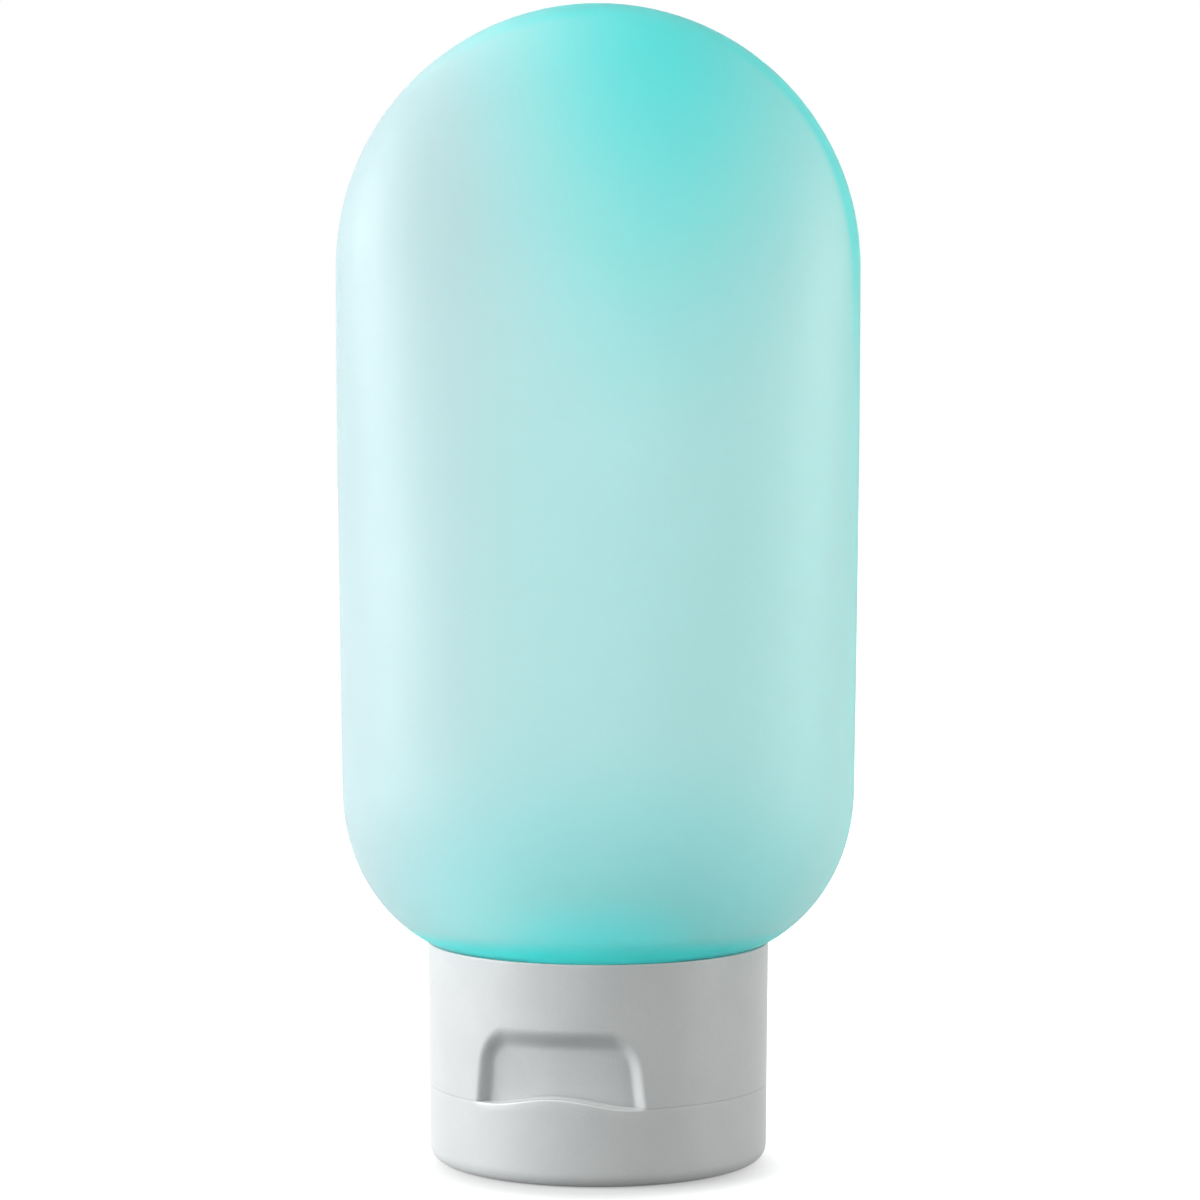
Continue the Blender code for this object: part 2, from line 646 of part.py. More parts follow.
def valve_retainer():
    """Ring pressed into the nozzle's bore over the valve's flange."""
    outer = NOZZLE_BORE - GAP
    inner = ORIFICE_RADIUS
    low = VALVE_TOP + GAP
    high = DECK_TOP - RETAINER_INSET
    profile = [
        (outer - SMALL_CHAMFER, high), (outer, high - SMALL_CHAMFER),
        (outer, low), (inner, low), (inner, high),
    ]
    ring = place("valve_retainer",
                 turned_mesh("valve_retainer", profile, SMALL_STEPS, closed=True))
    return dress(ring, plastic("retainer_plastic", (0.80, 0.82, 0.82), 0.40))


def lid_seal():
    """Soft pad in the lid's collar that presses on the nozzle's end."""
    low = LID_FLOOR + GAP
    radius = NOZZLE_RADIUS - GAP
    button = ORIFICE_RADIUS - 2.0 * GAP
    profile = [
        (0.0, NOZZLE_TIP), (button, NOZZLE_TIP), (button, SEAL_FACE),
        (radius - SMALL_CHAMFER, SEAL_FACE), (radius, SEAL_FACE - SMALL_CHAMFER),
        (radius, low), (0.0, low),
    ]
    seal = place("lid_seal", turned_mesh("lid_seal", profile, SMALL_STEPS, closed=False))
    return dress(seal, plastic("seal_silicone", (0.36, 0.73, 0.72), 0.50))


def hinge_pin():
    """Steel pin through the three knuckles."""
    half = HINGE_WIDTH / 2.0
    pin = place("hinge_pin", rod_mesh("hinge_pin", PIN_RADIUS, -half, half, PIN_STEPS))
    return dress(pin, plastic("pin_steel", (0.62, 0.62, 0.63), 0.30, metallic=1.0))


def hang_on(pieces, holder):
    """Parent pieces to an empty, keeping their place in the holder's own frame."""
    for piece in pieces:
        piece.parent = holder


def axis_empty(name, location, parent=None):
    empty = bpy.data.objects.new(name, None)
    PARTS.objects.link(empty)
    empty.location = location
    empty.parent = parent
    return empty


def assemble():
    """Build every piece, then turn the whole cap to where its thread stops."""
    bottle_body()
    neck_ring()
    gasket = neck_gasket()
    base = cap_base()
    valve = slit_valve()
    retainer = valve_retainer()
    pin = hinge_pin()
    lid = flip_lid()
    seal = lid_seal()
    cap_axis = axis_empty("cap_axis", (0.0, 0.0, 0.0))
    cap_axis.rotation_euler = (0.0, 0.0, math.radians(CAP_STOP_DEGREES))
    hinge_at = Vector((0.0, HINGE_Y, HINGE_HEIGHT))
    hinge_axis = axis_empty("hinge_axis", hinge_at, parent=cap_axis)
    hang_on((base, valve, retainer, pin, gasket), cap_axis)
    hang_on((lid, seal), hinge_axis)
    for piece in (lid, seal):
        piece.data.transform(Matrix.Translation(-hinge_at))
    bpy.context.view_layer.update()


assemble()
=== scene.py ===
# %% [markdown]
# # A travel squeeze bottle that stands on its flip-top cap
#
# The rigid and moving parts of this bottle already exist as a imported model. This lesson
# dresses them: it gives the soft bottle its frosted silicone, the cap its softly rounded
# moulding, and the whole a plain studio.
#
# Everything is in metres, and Z points up. The bottle stands on its lid at the origin,
# and its wide front faces -Y.

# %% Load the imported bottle
import math

import bmesh
import bpy
from mathutils import Matrix, Vector


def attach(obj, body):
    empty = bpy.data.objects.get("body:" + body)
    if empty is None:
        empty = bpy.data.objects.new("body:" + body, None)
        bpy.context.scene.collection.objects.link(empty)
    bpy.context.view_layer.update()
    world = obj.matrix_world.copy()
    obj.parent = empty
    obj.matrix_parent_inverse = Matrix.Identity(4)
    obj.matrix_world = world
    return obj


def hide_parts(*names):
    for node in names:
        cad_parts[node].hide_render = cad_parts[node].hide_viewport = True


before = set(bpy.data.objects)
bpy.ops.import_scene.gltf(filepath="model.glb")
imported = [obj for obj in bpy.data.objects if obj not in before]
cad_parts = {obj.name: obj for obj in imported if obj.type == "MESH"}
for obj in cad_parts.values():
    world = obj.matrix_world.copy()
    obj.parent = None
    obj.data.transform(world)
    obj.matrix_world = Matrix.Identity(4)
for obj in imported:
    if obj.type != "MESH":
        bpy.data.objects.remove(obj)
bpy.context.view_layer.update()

# %% [markdown]
# ## The camera
#
# The picture is taken from about half a metre with a long lens, from a little above the
# middle of the bottle. A camera could be turned by hand until the picture looks right.
# Here it is aimed with one line of trigonometry instead, so that its height, its distance
# and the point it looks at stay readable.

# %% Camera
CAMERA_DISTANCE = 0.500
CAMERA_HEIGHT = 0.100
CAMERA_LENS = 135.3
AIM_SIDE = 0.0002
AIM_HEIGHT = 0.0625


def look_from(name, place, target, lens):
    data = bpy.data.cameras.new(name)
    data.lens = lens
    camera = bpy.data.objects.new(name, data)
    bpy.context.scene.collection.objects.link(camera)
    camera.location = place
    camera.rotation_euler = (Vector(target) - Vector(place)).to_track_quat("-Z", "Y").to_euler()
    return camera


camera = look_from("photo_camera", (AIM_SIDE, -CAMERA_DISTANCE, CAMERA_HEIGHT),
                   (AIM_SIDE, 0.0, AIM_HEIGHT), CAMERA_LENS)
bpy.context.scene.camera = camera
print("camera tilt:", round(math.degrees(camera.rotation_euler.x) - 90.0, 2), "degrees")

# %% [markdown]
# ## Finishes from nodes
#
# Every finish here is a Principled shader. What is the same all over a piece, such as how
# much light scatters inside it, is set on the shader's own sockets. What varies, such as a
# fine moulded grain, comes from noise textures that are laid out in the piece's own
# coordinates, so the grain stays on the piece when the lid swings or the cap turns.
#
# Nodes could be placed and linked by hand in the Shader Editor. Three small helpers do it
# here: one adds a node and wires its inputs, one makes a soft step between two values, and
# one blends two colours.

# %% Node helpers


def wire(tree, kind, inputs, **settings):
    """Add a node; each input is a steady value or another node's output."""
    made = tree.nodes.new(kind)
    for key, value in settings.items():
        setattr(made, key, value)
    for key, value in inputs.items():
        if isinstance(value, bpy.types.NodeSocket):
            tree.links.new(value, made.inputs[key])
        else:
            made.inputs[key].default_value = value
    return made


def soft_step(tree, value, start, end):
    """0 at the start value, 1 at the end value, and a smooth curve in between."""
    return wire(tree, "ShaderNodeMapRange", {
        "Value": value, "From Min": start, "From Max": end},
        interpolation_type="SMOOTHSTEP").outputs["Result"]


def blend_colours(tree, share, first, second):
    mix = wire(tree, "ShaderNodeMix", {}, data_type="RGBA")
    for index, value in ((0, share), (6, first), (7, second)):
        if isinstance(value, bpy.types.NodeSocket):
            tree.links.new(value, mix.inputs[index])
        else:
            mix.inputs[index].default_value = value
    return mix.outputs[2]


print("node helpers:", ", ".join(
    helper.__name__ for helper in (wire, soft_step, blend_colours)))

# %% [markdown]
# Nearly all of this bottle is moulded, and a mould leaves a fine grain on what comes out
# of it. It could be painted as a roughness map. A noise texture needs no picture, and one
# of them gives both effects here: it makes the gloss a little uneven and the surface a
# little bumpy, so the raised grains are also the duller ones.

# %% Start a finish and give it grain
GRAIN_DETAIL = 3.0
GRAIN_CONTRAST = 0.6
GRAIN_STRENGTH = 0.35


def new_finish(name, **steady):
    """A material whose Principled shader holds these steady values."""
    material = bpy.data.materials.new(name)
    material.use_nodes = True
    shader = material.node_tree.nodes["Principled BSDF"]
    for socket, value in steady.items():
        shader.inputs[socket.replace("_", " ")].default_value = value
    return material, material.node_tree, shader


def add_grain(tree, shader, coords, grain_size, bump_height, rough_low, rough_high):
    """Fine moulded grain: it roughens the gloss unevenly and bumps the surface a little."""
    grain = wire(tree, "ShaderNodeTexNoise", {
        "Vector": coords, "Scale": 1.0 / grain_size, "Detail": GRAIN_DETAIL,
        "Roughness": GRAIN_CONTRAST})
    rough = wire(tree, "ShaderNodeMapRange", {
        "Value": grain.outputs["Fac"], "To Min": rough_low, "To Max": rough_high})
    bump = wire(tree, "ShaderNodeBump", {
        "Height": grain.outputs["Fac"], "Strength": GRAIN_STRENGTH, "Distance": bump_height})
    tree.links.new(rough.outputs["Result"], shader.inputs["Roughness"])
    tree.links.new(bump.outputs["Normal"], shader.inputs["Normal"])
    return grain.outputs["Fac"]


print("finish helpers:", new_finish.__name__, "and", add_grain.__name__)

# %% [markdown]
# ## Profiles with round corners
#
# Nearly every piece of a bottle cap is round, so it can be drawn as a profile: the outline
# of one half of it, cut down the middle. Moulded plastic has no knife edges. A Bevel
# modifier could round them all by one width. Here each corner of a profile is written with
# its own radius instead, and a helper swaps the corner for an arc. A second helper splits
# long straight stretches, because a wall that is bent later needs points to bend.

# %% Round corners
ARC_STEPS = 4                     # at least this many to a corner
ARC_STEP_LENGTH = 0.00025


def rounded(corners, closed=True):
    """Swap each (radius, height, fillet) corner of a profile for an arc."""
    points = []
    count = len(corners)
    for i, (radius, height, fillet) in enumerate(corners):
        here = Vector((radius, height))
        if fillet == 0 or (not closed and i in (0, count - 1)):
            points.append(here)
            continue
        before = (Vector(corners[i - 1][:2]) - here).normalized()
        after = (Vector(corners[(i + 1) % count][:2]) - here).normalized()
        half_turn = before.angle(after) / 2.0
        centre = here + (before + after).normalized() * fillet / math.sin(half_turn)
        reach = fillet / math.tan(half_turn)
        first = (here + before * reach - centre).normalized()
        last = (here + after * reach - centre).normalized()
        steps = max(ARC_STEPS, math.ceil(fillet / ARC_STEP_LENGTH))
        for k in range(steps + 1):
            points.append(centre + first.slerp(last, k / steps) * fillet)
    return points


def refine(points, step_at, closed=True):
    """Split the straight stretches where the step asked for is shorter than they are."""
    ends = points[1:] + (points[:1] if closed else [])
    finer = []
    for start, end in zip(points, ends):
        parts = max(1, math.ceil((end - start).length / step_at((start + end) / 2.0)))
        finer += [start.lerp(end, k / parts) for k in range(parts)]
    return finer if closed else finer + [points[-1]]


millimetre_corner = rounded([(0.0, 0.0, 0.0), (0.002, 0.0, 0.001), (0.002, 0.002, 0.0)],
                            closed=False)
print("a corner of 1 mm radius becomes", len(millimetre_corner) - 2, "points")

# %% [markdown]
# A profile becomes a piece when it is swept round the axis. A Screw modifier would do
# that, but here it goes into a plain grid of quads, because a grid lets a function push
# points of it about. The thumb recess, the screw threads and the lid's lip are all made
# that way. Where the front needs finer points, the columns stand closer together there.

# %% Turning helpers
MERGE = 0.000002


def angles_round(fine_half=0.0, fine_step=3.0, coarse_step=3.0):
    """Angles all round in radians, 0 at the front. The arguments are in degrees: the steps
    are fine within fine_half of the front and coarse elsewhere."""
    fine = max(1, round(2.0 * fine_half / fine_step)) if fine_half else 0
    angles = [-fine_half + 2.0 * fine_half * i / fine for i in range(fine)]
    rest = 360.0 - 2.0 * fine_half
    coarse = round(rest / coarse_step)
    angles += [fine_half + rest * i / coarse for i in range(coarse)]
    return [math.radians(angle) for angle in angles]


def turned(profile, angles, closed=True, mould=None):
    """Sweep a profile round Z into quads. mould(point, angle) may move a point first."""
    bm = bmesh.new()
    columns = []
    for angle in angles:
        column = []
        for radius, height in profile:
            point = Vector((radius * math.sin(angle), -radius * math.cos(angle), height))
            column.append(bm.verts.new(mould(point, angle) if mould else point))
        columns.append(column)
    rows = len(profile)
    for i, column in enumerate(columns):
        beside = columns[(i + 1) % len(columns)]
        for k in range(rows if closed else rows - 1):
            n = (k + 1) % rows
            bm.faces.new((column[k], beside[k], beside[n], column[n]))
    bmesh.ops.remove_doubles(bm, verts=bm.verts, dist=MERGE)
    bmesh.ops.recalc_face_normals(bm, faces=bm.faces)
    return bm


print("a plain turned piece has", len(angles_round()), "columns")

# %% [markdown]
# ## From a mesh to a piece of the bottle
#
# A mesh becomes a piece when it has a name, a finish and a body to ride on, and the
# imported part that it stands for is hidden. It could be shaded flat, but then every quad
# would show. Smooth shading, with sharp edges marked by angle, keeps round walls round and
# real corners crisp.

# %% Piece helpers
SHARP_EDGE = math.radians(38.0)


def mesh_object(name, bm):
    mesh = bpy.data.meshes.new(name)
    bm.to_mesh(mesh)
    bm.free()
    made = bpy.data.objects.new(name, mesh)
    bpy.context.scene.collection.objects.link(made)
    return made


def finish_piece(made, material, body, node):
    made.data.shade_smooth()
    made.data.set_sharp_from_angle(angle=SHARP_EDGE)
    made.data.materials.clear()
    made.data.materials.append(material)
    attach(made, body)
    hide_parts(node)
    print(made.name, "-", len(made.data.polygons), "faces, rides on", body)
    return made


print("edges sharper than", round(math.degrees(SHARP_EDGE)), "degrees stay crisp")

# %% [markdown]
# The hinge's knuckles and the valve's slits don't run round the axis, so they can't be
# turned. They are joined on or cut out with Boolean modifiers. The modifiers could stay
# live, but then their helper shapes would have to stay too. They are worked out once, in
# order, and only the finished mesh is kept.

# %% Join and cut


def with_booleans(target, steps):
    """Join and cut helpers in turn, then keep only the result."""
    helpers = []
    for operation, name, bm in steps:
        helper = mesh_object(name, bm)
        helper.hide_render = True
        helpers.append(helper)
        modifier = target.modifiers.new(name, "BOOLEAN")
        modifier.operation = operation
        modifier.solver = "EXACT"
        modifier.object = helper
    bpy.context.view_layer.update()
    made = target.evaluated_get(bpy.context.evaluated_depsgraph_get())
    mesh = bpy.data.meshes.new_from_object(made)
    target.modifiers.clear()
    target.data = mesh
    for helper in helpers:
        bpy.data.objects.remove(helper, do_unlink=True)
    return target


print("ready to join and cut with", with_booleans.__name__)

# %% [markdown]
# ## The soft bottle
#
# The bottle is one thin shell of silicone: an oval pillow with a round crown, which rolls
# in at the bottom to a round mouth. It could be sculpted, or smoothed from a box with a
# subdivision surface. It is skinned over cross-sections here, because the outline in the
# picture is made of plain curves: a quarter ellipse at each lower corner, nearly straight
# sides, and half an ellipse for the crown.
#
# The inner wall is the same shape moved inward, so the bottle is hollow when the cap is
# off. The wall is thickest at the rim and the crown. The deep teal laid on them is only
# partly that thickness: on the rim it is mostly painted shade from the crease under it,
# and on the crown partly painted light shining through.

# %% Sizes of the soft bottle
CAP_RADIUS = 0.0190
CAP_HEIGHT = 0.0245
BODY_RIM = CAP_HEIGHT + 0.00001    # the soft rim rests on the cap
BODY_TOP = 0.1284
BODY_WIDTH = 0.0580
BODY_LOW_WIDTH = 0.0570
BODY_DEPTH = 0.0418
CORNER_TOP = 0.0415
CORNER_CUT = 0.0013
CROWN_START = 0.0994
SIDE_WALL = 0.0012
CROWN_WALL = 0.0020
LIP_THICKNESS = 0.0022
LIP_HOLE = 0.0133
RIM_RADIUS = 0.0188
RIM_ROUNDING = 0.0002
SQUARENESS = 2.2
DEPTH_TAPER_POWER = 1.6
SECTION_POINTS = 128
CORNER_RINGS, SIDE_RINGS, CROWN_RINGS = 20, 26, 30

print("soft bottle:", round(1000.0 * BODY_WIDTH, 1), "mm wide and",
      round(1000.0 * BODY_DEPTH, 1), "mm deep")

# %% [markdown]
# A cross-section could be a plain ellipse, but the front of the bottle is flatter than
# that, so it is an ellipse with slightly fuller corners. Its half width follows the
# outline in the picture. Its half depth gets shallower towards the crown. The inner wall
# asks the same function with the wall's thickness taken off.

# %% Cross-sections of the soft bottle


def signed_power(value, power):
    return math.copysign(abs(value) ** power, value)


def oval(half_width, half_depth, squareness, height):
    """One cross-section: an ellipse with slightly fuller corners."""
    ring = []
    for i in range(SECTION_POINTS):
        angle = math.tau * i / SECTION_POINTS
        ring.append(Vector((half_width * signed_power(math.cos(angle), 2.0 / squareness),
                            half_depth * signed_power(math.sin(angle), 2.0 / squareness),
                            height)))
    return ring


def shell_sections(inset, crown_inset, floor_inset):
    """(half width, half depth, squareness, height) from the mouth to the crown."""
    top = BODY_TOP - crown_inset
    rise = CORNER_TOP - BODY_RIM - floor_inset
    drop = rise + CORNER_CUT
    low_width = BODY_LOW_WIDTH / 2.0 - inset
    wide = BODY_WIDTH / 2.0 - inset
    depth = BODY_DEPTH / 2.0 - inset
    rim = RIM_RADIUS - inset
    rim_angle = math.asin(rise / drop)
    corner_x = (low_width - rim) / (1.0 - math.cos(rim_angle))
    corner_y = (depth - rim) / (1.0 - math.cos(rim_angle))

    def side_depth(height):
        share = (height - CORNER_TOP) / (top - CORNER_TOP)
        return depth * math.sqrt(max(0.0, 1.0 - share ** DEPTH_TAPER_POWER))

    sections = []
    for i in range(CORNER_RINGS):
        share = i / CORNER_RINGS
        angle = rim_angle * (1.0 - share)
        fall = 1.0 - math.cos(angle)
        sections.append((low_width - corner_x * fall, depth - corner_y * fall,
                         2.0 + (SQUARENESS - 2.0) * share, CORNER_TOP - drop * math.sin(angle)))
    for i in range(SIDE_RINGS):
        share = i / SIDE_RINGS
        height = CORNER_TOP + (CROWN_START - CORNER_TOP) * share
        swell = math.sin(share * math.pi / 2.0)
        sections.append((low_width + (wide - low_width) * swell, side_depth(height),
                         SQUARENESS, height))
    for i in range(CROWN_RINGS):
        angle = i / CROWN_RINGS * math.pi / 2.0
        height = CROWN_START + (top - CROWN_START) * math.sin(angle)
        sections.append((wide * math.cos(angle), side_depth(height), SQUARENESS, height))
    return sections, Vector((0.0, 0.0, top))


outer_sections = len(shell_sections(0.0, 0.0, 0.0)[0])
print("outer wall:", outer_sections, "sections of", SECTION_POINTS, "points")

# %% [markdown]
# The sections become a skin when each ring of points is linked to the next with quads. It
# could be lofted in two shells and joined afterwards. One skin is simpler: it starts at
# the crown on the inside, runs down to the mouth, round the lip, and up the outside.

# %% Skin over the sections


def skin(rings, first_pole, last_pole):
    """Quads between rings of equally many points, and a fan to each pole."""
    bm = bmesh.new()
    loops = [[bm.verts.new(point) for point in ring] for ring in rings]
    count = len(loops[0])
    for lower, upper in zip(loops, loops[1:]):
        for i in range(count):
            j = (i + 1) % count
            bm.faces.new((lower[i], lower[j], upper[j], upper[i]))
    for loop, pole in ((loops[0], first_pole), (loops[-1], last_pole)):
        tip = bm.verts.new(pole)
        for i in range(count):
            bm.faces.new((loop[i], loop[(i + 1) % count], tip))
    bmesh.ops.recalc_face_normals(bm, faces=bm.faces)
    return bm


print("two walls will take about", 2 * outer_sections * SECTION_POINTS, "quads")

# %% [markdown]
# The silicone is dyed teal and frosted. It looks pale and milky where light falls flat on
# it, and deeper in colour where there is more silicone to look through, along the edge,
# where the wall is seen from its side. It could be a clear volume inside a rough glass
# surface, which is true but slow and grainy. Here the colour is mixed from seven teals
# instead, each in its own place.
#
# Not all of that is dye: much of it is painted light and shade. The left half is painted
# greyer, a painted sheen where the left softbox falls. The pool under the crown, right of
# the middle, is partly the thick crown's deeper teal and partly painted light shining
# through it. The deeper teal above the mouth and in a pool over the rim is painted shade,
# where the body turns under towards the cap. The deep rim is painted shade in the crease
# where it meets the cap. The edge is deeper on the right only, as painted shade away from
# the left lamp. On a real bottle the lamps would do most of this. Laid into the colour, it
# suits this studio best, and under other lamps the two halves should be made alike and the
# painted light and shade taken out.

# %% Teals of the silicone
MILKY_TEAL = (0.600, 0.915, 0.910, 1.0)
# Painted sheen: the greyer teal of the left half, where the left softbox falls
LEFT_SHEEN_TEAL = (0.465, 0.590, 0.605, 1.0)
# Partly the thick crown's own teal, partly painted light shining through the crown
THICK_BACKLIT_CROWN_TEAL = (0.150, 0.870, 0.850, 1.0)
# Painted shade where the body turns under towards the cap: above the mouth, and in a pool over the
# rim
MOUTH_SHADE_TEAL = (0.330, 0.835, 0.835, 1.0)
LOW_SHADE_POOL_TEAL = (0.170, 0.960, 0.950, 1.0)
# Painted shade in the crease where the rim meets the cap, on a rim that is also thicker
RIM_CREASE_SHADE_TEAL = (0.065, 0.960, 0.925, 1.0)
EDGE_TEAL = (0.170, 0.880, 0.850, 1.0)
HAZE_TEAL = (0.800, 0.900, 0.900, 1.0)
HAZE_SHARE = 0.06

print("the milky teal takes up", round(100.0 * (1.0 - MILKY_TEAL[0])), "% of red light")

# %% [markdown]
# The places are written in metres, in the bottle's own coordinates, so the colour stays
# on the bottle wherever the camera stands. They could be painted by hand on the mesh,
# but numbers are easier to move. Each step starts at its first number and is complete at
# its second. The edge is soft along the side and crisper round the crown, where the wall
# is thicker.

# %% Places of the teals
# The crown's pool sits right of the middle: painted light shining through from behind on that side
BACKLIT_CROWN_MIDDLE = (0.0070, 0.0, 0.1280)
BACKLIT_CROWN_REACH = (0.026, 0.052)           # sideways, and down
# Painted sheen: where the left half turns greyer
LEFT_SHEEN_STEP = (0.0030, -0.0300)          # across, to the left
# Painted shade above the mouth and over the rim, where the body turns under
MOUTH_SHADE_STEP = (0.0520, 0.0245)          # down
MOUTH_SHADE_MIDDLE = 0.0020                  # across
MOUTH_SHADE_SIDE_STEP = (0.0340, 0.0040)     # towards that middle
LOW_SHADE_POOL_MIDDLE = (0.0004, 0.0, 0.0250)
LOW_SHADE_POOL_REACH = (0.0150, 0.0085)          # sideways, and up
# Painted shade in the crease at the rim
RIM_CREASE_SHADE_STEP = (0.0273, 0.0252)            # down
EDGE_STEP = (0.0095, 0.0)              # towards the middle of the bottle's depth
EDGE_SHARE = 0.60                      # how strong it is along the side
# Painted shade: the edge's deeper teal is kept off the lit left half
EDGE_SHADED_SIDE_STEP = (-0.0240, 0.006)      # across, to the right
CROWN_EDGE_STEP = (0.0056, 0.0042)     # towards the middle of the bottle's depth
CROWN_EDGE_RISE = (0.0820, 0.1060)     # up: where the side's edge becomes the crown's
CROWN_EDGE_SLIMMING = (0.1000, 0.1240)  # up
SLIMMING_SHARE = 0.35
HAZE_STEP = (0.30, 0.85)               # of the noise
HAZE_SCALE = 60.0

print("deep crown reaches", round(1000 * BACKLIT_CROWN_REACH[1]), "mm down from near the top")

# %% [markdown]
# Three more node helpers turn those numbers into masks between 0 and 1: a product of two
# masks, a distance to either side of a middle, and a pool, which is an ellipse that fades
# outward. A colour ramp along one axis couldn't make an ellipse.

# %% Mask helpers


def product(tree, first, second):
    return wire(tree, "ShaderNodeMath", {0: first, 1: second},
                operation="MULTIPLY").outputs["Value"]


def distance_to(tree, value, middle):
    """How far a value is from a middle, on either side."""
    off = wire(tree, "ShaderNodeMath", {0: value, 1: middle},
               operation="SUBTRACT").outputs["Value"]
    return wire(tree, "ShaderNodeMath", {0: off}, operation="ABSOLUTE").outputs["Value"]


def deep_pool(tree, coords, middle, reach):
    """1 in the middle of a pool of deep colour, and 0 from an ellipse round it outward."""
    off = wire(tree, "ShaderNodeVectorMath", {0: coords, 1: middle},
               operation="SUBTRACT").outputs["Vector"]
    off = wire(tree, "ShaderNodeVectorMath", {0: off, 1: (1.0 / reach[0], 0.0, 1.0 / reach[1])},
               operation="MULTIPLY").outputs["Vector"]
    length = wire(tree, "ShaderNodeVectorMath", {0: off}, operation="LENGTH").outputs["Value"]
    return soft_step(tree, length, 1.0, 0.0)


print("mask helpers:", ", ".join(
    helper.__name__ for helper in (product, distance_to, deep_pool)))

# %% [markdown]
# The masks then lay the teals over each other, from the widest to the narrowest, and a
# faint haze over all of them. Layers of paint work the same way: what comes last hides
# what is below it.

# %% Mix the teals


def edge_band(tree, axes):
    """How much of the edge's teal shows: soft at the side, crisp round the crown, and, as painted
    shade, only on the right half.
    """
    off_middle = distance_to(tree, axes["Y"], 0.0)
    side_edge = product(tree, soft_step(tree, off_middle, *EDGE_STEP), EDGE_SHARE)
    # The crown gets shallower upward, so the band along its edge gets slimmer there too
    slimming = product(tree, soft_step(tree, axes["Z"], *CROWN_EDGE_SLIMMING), SLIMMING_SHARE)
    off_crown = wire(tree, "ShaderNodeMath", {0: off_middle, 1: slimming, 2: off_middle},
                     operation="MULTIPLY_ADD").outputs["Value"]
    edge = wire(tree, "ShaderNodeMix", {
        0: soft_step(tree, axes["Z"], *CROWN_EDGE_RISE), 2: side_edge,
        3: soft_step(tree, off_crown, *CROWN_EDGE_STEP)}).outputs[0]
    # Painted shade: the edge's deeper teal is kept off the lit left half
    return product(tree, edge, soft_step(tree, axes["X"], *EDGE_SHADED_SIDE_STEP))


def silicone_colour(tree, coords):
    axes = wire(tree, "ShaderNodeSeparateXYZ", {"Vector": coords}).outputs
    # Painted shade above the mouth, where the body turns under towards the cap
    beside = soft_step(tree, distance_to(tree, axes["X"], MOUTH_SHADE_MIDDLE), *MOUTH_SHADE_SIDE_STEP)
    mouth = product(tree, soft_step(tree, axes["Z"], *MOUTH_SHADE_STEP), beside)
    # Painted sheen: the left half, lit by the left softbox, is painted greyer
    colour = blend_colours(tree, soft_step(tree, axes["X"], *LEFT_SHEEN_STEP), MILKY_TEAL, LEFT_SHEEN_TEAL)
    # The crown's pool: partly its own deeper teal, partly painted light shining through it
    colour = blend_colours(tree, deep_pool(tree, coords, BACKLIT_CROWN_MIDDLE, BACKLIT_CROWN_REACH),
                           colour, THICK_BACKLIT_CROWN_TEAL)
    colour = blend_colours(tree, mouth, colour, MOUTH_SHADE_TEAL)
    # Painted shade in a pool just over the rim
    colour = blend_colours(tree, deep_pool(tree, coords, LOW_SHADE_POOL_MIDDLE, LOW_SHADE_POOL_REACH),
                           colour, LOW_SHADE_POOL_TEAL)
    colour = blend_colours(tree, edge_band(tree, axes), colour, EDGE_TEAL)
    # Painted shade in the crease where the rim meets the cap
    colour = blend_colours(tree, soft_step(tree, axes["Z"], *RIM_CREASE_SHADE_STEP), colour, RIM_CREASE_SHADE_TEAL)
    cloud = wire(tree, "ShaderNodeTexNoise", {
        "Vector": coords, "Scale": HAZE_SCALE, "Detail": 2.0})
    haze = product(tree, soft_step(tree, cloud.outputs["Fac"], *HAZE_STEP), HAZE_SHARE)
    return blend_colours(tree, haze, colour, HAZE_TEAL)


print("the teals are mixed by", silicone_colour.__name__)

# %% [markdown]
# Part of the light that meets frosted silicone goes through it, softened, and part
# scatters inside it. A plain matte colour would look like painted plastic. So the finish
# mixes some rough transmission and a little subsurface scattering with its colour, and a
# fine grain breaks up the gloss.

# %% Frosted teal silicone
SILICONE_GRAIN = 0.00035
SILICONE_BUMP = 0.00002
SILICONE_ROUGHNESS = (0.42, 0.54)


def frosted_silicone():
    material, tree, shader = new_finish(
        "frosted_teal_silicone", Subsurface_Weight=0.3, Subsurface_Scale=0.002,
        Subsurface_Radius=(0.8, 1.0, 1.0), IOR=1.41, Specular_IOR_Level=0.40,
        Transmission_Weight=0.45)
    coords = wire(tree, "ShaderNodeTexCoord", {}).outputs["Object"]
    add_grain(tree, shader, coords, SILICONE_GRAIN, SILICONE_BUMP, *SILICONE_ROUGHNESS)
    tree.links.new(silicone_colour(tree, coords), shader.inputs["Base Color"])
    return material


frosted_teal = frosted_silicone()
print(frosted_teal.name, "has", len(frosted_teal.node_tree.nodes), "nodes")

# %% [markdown]
# The real mouth has a thick, rolled lip that grips the neck ring. It could be a separate
# ring of mesh, but then a seam would show when the cap is off. So the rings of the lip
# are put between those of the inner and the outer wall, and the skin runs over them all.

# %% Build the soft bottle


